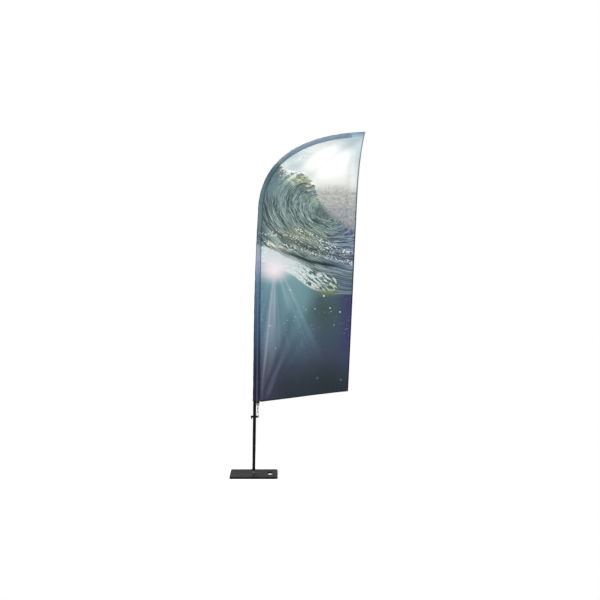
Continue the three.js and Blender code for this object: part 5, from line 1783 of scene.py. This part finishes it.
@dataclass
class Pole:
    """The pole's sections; only the lower one is seen, and the sleeve hides the rest."""

    line: PoleLine
    diameter: float = 0.020
    wall: float = 0.0015
    rim: float = 0.0005
    foot: float = 0.0267
    rings: int = 60
    curl_points: int = 5
    segments: int = 96

    def build(self) -> None:
        """Makes the lower tube and finishes what the sleeve hides."""
        outer, inner = self.diameter / 2.0, self.diameter / 2.0 - self.wall
        foot, top, rim = self.foot, self.line.lower_top, self.rim
        curl = np.linspace(0.0, 0.5 * math.pi, self.curl_points)
        profile = [(outer, h) for h in np.linspace(foot + rim, top - rim, self.rings)]
        profile += [(outer - rim + rim * math.cos(a), top - rim + rim * math.sin(a)) for a in curl[1:]]
        profile += [(inner, top), (inner, foot)]
        profile += [(outer - rim + rim * math.sin(a), foot + rim - rim * math.cos(a)) for a in curl[:-1]]
        points, faces = lathe(profile, self.segments)
        tube = add_piece("pole_lower_tube", self.line.leaning(*points.T), faces, POLE_BLACK)
        outward(tube)
        fit(tube, Body.POLE, "black_aluminium", "pole_lower_section")
        repaint(POLE_BLACK, "pole_middle_section")
        repaint(ROD, "pole_tip_rod")
        repaint(BLACK_PLASTIC, "pole_lower_joint_bush", "pole_upper_joint_bush", "pole_tip_cap")


# ---- Base -----------------------------------------------------------------------------------------


@dataclass
class Base:
    """The plate, its mat, and the spindle with the rotor that turns on it."""

    parts: tuple[Rounded, ...] = (
        Rounded("base_plate", "painted_plate", PAINT, 0.35 * MM, 3, Body.BASE, "painted_plate"),
        Rounded("floor_mat", "rubber_mat", MAT_RUBBER, 0.5 * MM, 2, Body.BASE, "mat_rubber"),
        Rounded("spindle_nut", "plated_spindle_nut", ZINC, 0.6 * MM, 3, Body.BASE, "zinc_steel"),
        Rounded("spindle_washer", "plated_washer", ZINC, 0.3 * MM, 2, Body.BASE, "zinc_steel"),
        Rounded("rotor_sleeve", "plated_rotor", ZINC, 0.3 * MM, 2, Body.ROTOR, "zinc_steel"),
    )

    def build(self) -> None:
        """Makes the base."""
        for part in self.parts:
            part.make()
        repaint(ZINC, "spindle_bolt", "top_washer", "retaining_ring")
        repaint(WHITE_PLASTIC, "rotor_lower_bush", "rotor_upper_bush")


# ---- Tension hardware -----------------------------------------------------------------------------


@dataclass
class Bungee:
    """The elastic loop that pulls the tab down to the hook, and the crimp that joins its ends."""

    line: PoleLine
    offset: float = 0.0209
    cord: float = 4.6 * MM
    foot: float = 0.3991
    head: float = 0.4502
    crimp_at: float = 0.42465
    crimp_length: float = 9.0 * MM
    pinch: float = 2.6 * MM
    spread: float = 5.5 * MM
    end_gap: float = 1.0 * MM
    arc_points: int = 9
    route_points: int = 420
    sides: int = 48
    strands: int = 4
    braid_pitch: float = 9.0 * MM
    braid_depth: float = 0.16 * MM
    free_below: float = 0.5 * MM
    crimp: Rounded = Rounded(
        "bungee_crimp", "pressed_crimp", CRIMP_BLACK, 0.3 * MM, 2, Body.POLE, "black_aluminium"
    )

    def build(self) -> None:
        """Makes the cord, with its braid standing out in relief, and the crimp."""
        high, low = self.crimp_at + self.crimp_length / 2, self.crimp_at - self.crimp_length / 2
        top, foot = self.head - self.spread, self.foot + self.spread
        arc = np.radians(np.linspace(180.0, 0.0, self.arc_points))
        route = [(-self.pinch, self.crimp_at + self.end_gap), (-self.pinch, high)]
        route += [(self.spread * math.cos(a), top + self.spread * math.sin(a)) for a in arc]
        route += [(self.pinch, high), (self.pinch, low)]
        route += [(self.spread * math.cos(a), foot - self.spread * math.sin(a)) for a in arc[::-1]]
        route += [(-self.pinch, low), (-self.pinch, self.crimp_at - self.end_gap)]
        centre = even(rounded_route(np.array(route)), self.route_points)
        points = self.line.leaning(np.full(len(centre), self.offset), centre[:, 0], centre[:, 1])
        far = np.concatenate([[0.0], np.cumsum(np.linalg.norm(np.diff(points, axis=0), axis=1))])
        around = self.strands * np.linspace(0.0, 2 * math.pi, self.sides, endpoint=False)[None, :]
        twist = self.strands * 2 * math.pi * far[:, None] / self.braid_pitch
        over = np.abs(np.sin(around + twist)) * np.abs(np.sin(around - twist))
        radii = self.cord / 2 - self.braid_depth + self.braid_depth * over
        shape, faces = sweep(points, radii, (1.0, 0.0, 0.0))
        cord = add_piece("braided_bungee", shape, faces, CORD_BRAID, sharp=80.0)
        outward(cord)
        start = self.line.leaning(self.offset, 0.0, low - self.free_below)
        end = self.line.leaning(self.offset, 0.0, foot)
        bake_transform(cord)
        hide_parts("bungee_cord")
        log.info("%s bends between pole and collar", cord.name)
        self.crimp.make()


@dataclass
class SnapHook:
    """The bent wire of the snap hook with its cheeks, the gate and its rivet."""

    line: PoleLine
    offset: float = 0.0209
    wire: float = 3.0 * MM
    width: float = 11.0 * MM
    foot: float = 0.3692
    head: float = 0.4032
    hinge_rise: float = 4.0 * MM
    wire_drop: float = 2.5 * MM
    nose_rise: float = 17.3 * MM
    arc_points: int = 17
    route_points: int = 150
    sides: int = 20
    cheek_inner: float = 0.3 * MM
    cheek_outer: float = 1.5 * MM
    cheek_half: float = 1.6 * MM
    cheek_foot: float = 4.0 * MM
    cheek_top: float = 2.0 * MM
    cheek_edge: float = 0.25 * MM
    gate: Rounded = Rounded("hook_gate", "spring_gate", ZINC, 0.5 * MM, 3, Body.GATE, "zinc_steel")
    rivet: Rounded = Rounded("gate_rivet", "domed_rivet", ZINC, 0.2 * MM, 3, Body.COLLAR, "zinc_steel")

    def block(self, low: Point, high: Point) -> bpy.types.Mesh:
        """A block with rounded edges between two corners in the pole's own frame."""
        size = [b - a for a, b in zip(low, high)]
        middle = [(a + b) / 2 for a, b in zip(low, high)]
        shell = bmesh.new()
        bmesh.ops.create_cube(shell, size=1.0)
        bmesh.ops.scale(shell, vec=Vector(size), verts=shell.verts)
        bmesh.ops.bevel(
            shell, geom=shell.edges[:], offset=self.cheek_edge, segments=2, profile=0.5, affect="EDGES"
        )
        for vertex in shell.verts:
            vertex.co = self.line.leaning(*(v + m for v, m in zip(vertex.co, middle)))
        mesh = bpy.data.meshes.new("cheek")
        shell.to_mesh(mesh)
        shell.free()
        return mesh

    def cheeks(self, x: float, hinge: float) -> list[bpy.types.Mesh]:
        """The foot and the two ears that hold the gate.

        Args:
            x, hinge: where the gate's hinge is, in the pole's own frame.

        Returns:
            Their meshes.
        """
        inner, outer = self.wire / 2 + self.cheek_inner, self.wire / 2 + self.cheek_outer
        left, right, foot = x - self.cheek_half, x + self.cheek_half, hinge - self.cheek_foot
        below, above = hinge - self.cheek_top, hinge + self.cheek_top
        spans = ((-outer, outer, below), (-outer, -inner, above), (inner, outer, above))
        return [self.block((left, near, foot), (right, away, top)) for near, away, top in spans]

    def build(self) -> None:
        """Makes the hook, its gate and its rivet."""
        bow, spine = self.width / 2, self.offset - self.width / 2
        foot, head = self.foot + bow, self.head - bow
        gate_x, hinge = self.offset + bow, foot + self.hinge_rise
        arc = np.radians(np.linspace(0.0, -180.0, self.arc_points))
        route = [(gate_x, hinge - self.wire_drop)]
        route += [(self.offset + bow * math.cos(a), foot + bow * math.sin(a)) for a in arc]
        route += [(spine, (foot + head) / 2)]
        route += [(self.offset - bow * math.cos(a), head - bow * math.sin(a)) for a in arc]
        route += [(gate_x, hinge + self.nose_rise)]
        centre = even(np.array(route), self.route_points)
        points = self.line.leaning(centre[:, 0], np.zeros(len(centre)), centre[:, 1])
        shape, faces = sweep(points, np.full((len(points), self.sides), self.wire / 2))
        hook = add_piece("hook_wire", shape, faces, ZINC)
        outward(hook)
        shell = bmesh.new()
        shell.from_mesh(hook.data)
        for cheek in self.cheeks(gate_x, hinge):
            shell.from_mesh(cheek)
        shell.to_mesh(hook.data)
        shell.free()
        hook.data.shade_smooth()
        hook.data.set_sharp_from_angle(angle=math.radians(SHARP_TURN))
        fit(hook, Body.COLLAR, "zinc_steel", "snap_hook")
        self.gate.make()
        self.rivet.make()


@dataclass
class TensionHardware:
    """The collar with its clamp, the snap hook and the bungee that pulls the flag down."""

    line: PoleLine
    clamp: tuple[Rounded, ...] = (
        Rounded("tension_collar", "nylon_collar", BLACK_PLASTIC, 0.6 * MM, 3, Body.COLLAR, "black_plastic"),
        Rounded("clamp_lever", "moulded_lever", BLACK_PLASTIC, 0.9 * MM, 4, Body.LEVER, "black_plastic"),
        Rounded("clamp_screw", "plated_clamp_screw", ZINC, 0.4 * MM, 2, Body.LEVER, "zinc_steel"),
        Rounded("clamp_nut", "plated_clamp_nut", ZINC, 0.35 * MM, 2, Body.COLLAR, "zinc_steel"),
        Rounded("hook_pin", "plated_hook_pin", ZINC, 0.3 * MM, 3, Body.COLLAR, "zinc_steel"),
    )

    def build(self) -> None:
        """Makes the tension hardware."""
        for part in self.clamp:
            part.make()
        SnapHook(self.line).build()
        Bungee(self.line).build()


# ---- Studio ---------------------------------------------------------------------------------------


@dataclass(frozen=True)
class SoftBox:
    """A square soft light: where it hangs, what it points at, the length of its side and its watts."""

    name: str
    place: Point
    aim: Point
    size: float
    power: float

    def hang(self) -> None:
        """Puts the light in the scene."""
        data = bpy.data.lights.new(self.name, "AREA")
        data.shape, data.size, data.energy = "SQUARE", self.size, self.power
        light = bpy.data.objects.new(self.name, data)
        light.location = self.place
        light.rotation_euler = (Vector(self.aim) - Vector(self.place)).to_track_quat("-Z", "Y").to_euler()
        bpy.context.scene.collection.objects.link(light)


@dataclass
class Studio:
    """The camera, the pale floor and the soft lights."""

    eye: Point = (0.15, -6.95, 1.1775)
    lens: float = 65.5
    shift: tuple[float, float] = (0.0376, -0.0167)
    seen_white: float = 1.0
    surround: float = 0.40
    floor_size: float = 3.4
    floor_drop: float = 0.5 * MM
    lights: tuple[SoftBox, ...] = (
        SoftBox("key_light", (-2.8, -3.2, 3.4), (0.3, 0.0, 1.2), 1.4, 125.0),
        SoftBox("fill_light", (3.4, -3.0, 2.0), (0.3, 0.0, 1.2), 2.0, 26.0),
        SoftBox("back_light", (-1.2, 3.2, 3.2), (0.3, 0.0, 1.0), 1.8, 90.0),
        SoftBox("floor_light", (0.2, -0.4, 4.2), (0.2, 0.0, 0.0), 1.6, 90.0),
    )

    def camera(self) -> None:
        """Sets up a level camera in front of the flag."""
        data = bpy.data.cameras.new("camera")
        data.lens = self.lens
        data.sensor_width = 36.0
        data.shift_x, data.shift_y = self.shift
        camera = bpy.data.objects.new("camera", data)
        camera.location = self.eye
        camera.rotation_euler = (math.radians(90.0), 0.0, 0.0)
        bpy.context.scene.collection.objects.link(camera)
        bpy.context.scene.camera = camera

    def white_surround(self) -> bpy.types.World:
        """White walls all round, which look brighter than the light that they give."""
        world = bpy.data.worlds.new("white_surround")
        world.use_nodes = True
        tree = world.node_tree
        walls = tree.nodes["Background"]
        walls.inputs["Color"].default_value = (1.0, 1.0, 1.0, 1.0)
        path = tree.nodes.new("ShaderNodeLightPath")
        level = tree.nodes.new("ShaderNodeMapRange")
        level.inputs["To Min"].default_value = self.surround
        level.inputs["To Max"].default_value = self.seen_white
        tree.links.new(path.outputs["Is Camera Ray"], level.inputs["Value"])
        tree.links.new(level.outputs["Result"], walls.inputs["Strength"])
        return world

    def build(self) -> None:
        """Makes the camera, the surround, the floor and the lights."""
        scene = bpy.context.scene
        self.camera()
        scene.view_settings.view_transform = "Standard"
        scene.world = self.white_surround()
        half, low = self.floor_size / 2.0, -self.floor_drop
        corners = np.array([(-half, -half, low), (half, -half, low), (half, half, low), (-half, half, low)])
        floor = add_piece("studio_floor", corners, [[0, 1, 2, 3]], PAPER)
        for light in self.lights:
            light.hang()


def main() -> None:
    """Builds the feather flag, one sub-assembly after another."""
    logging.basicConfig(level=logging.INFO, format="%(message)s")
    Studio().build()
    line = PoleLine()
    shape = FlagShape(line)
    stitching = Stitching()
    Pole(line).build()
    Sleeve(shape, stitching).build()
    Flag(shape, stitching).build()
    TensionHardware(line).build()
    Base().build()


if __name__ == "__main__":
    main()
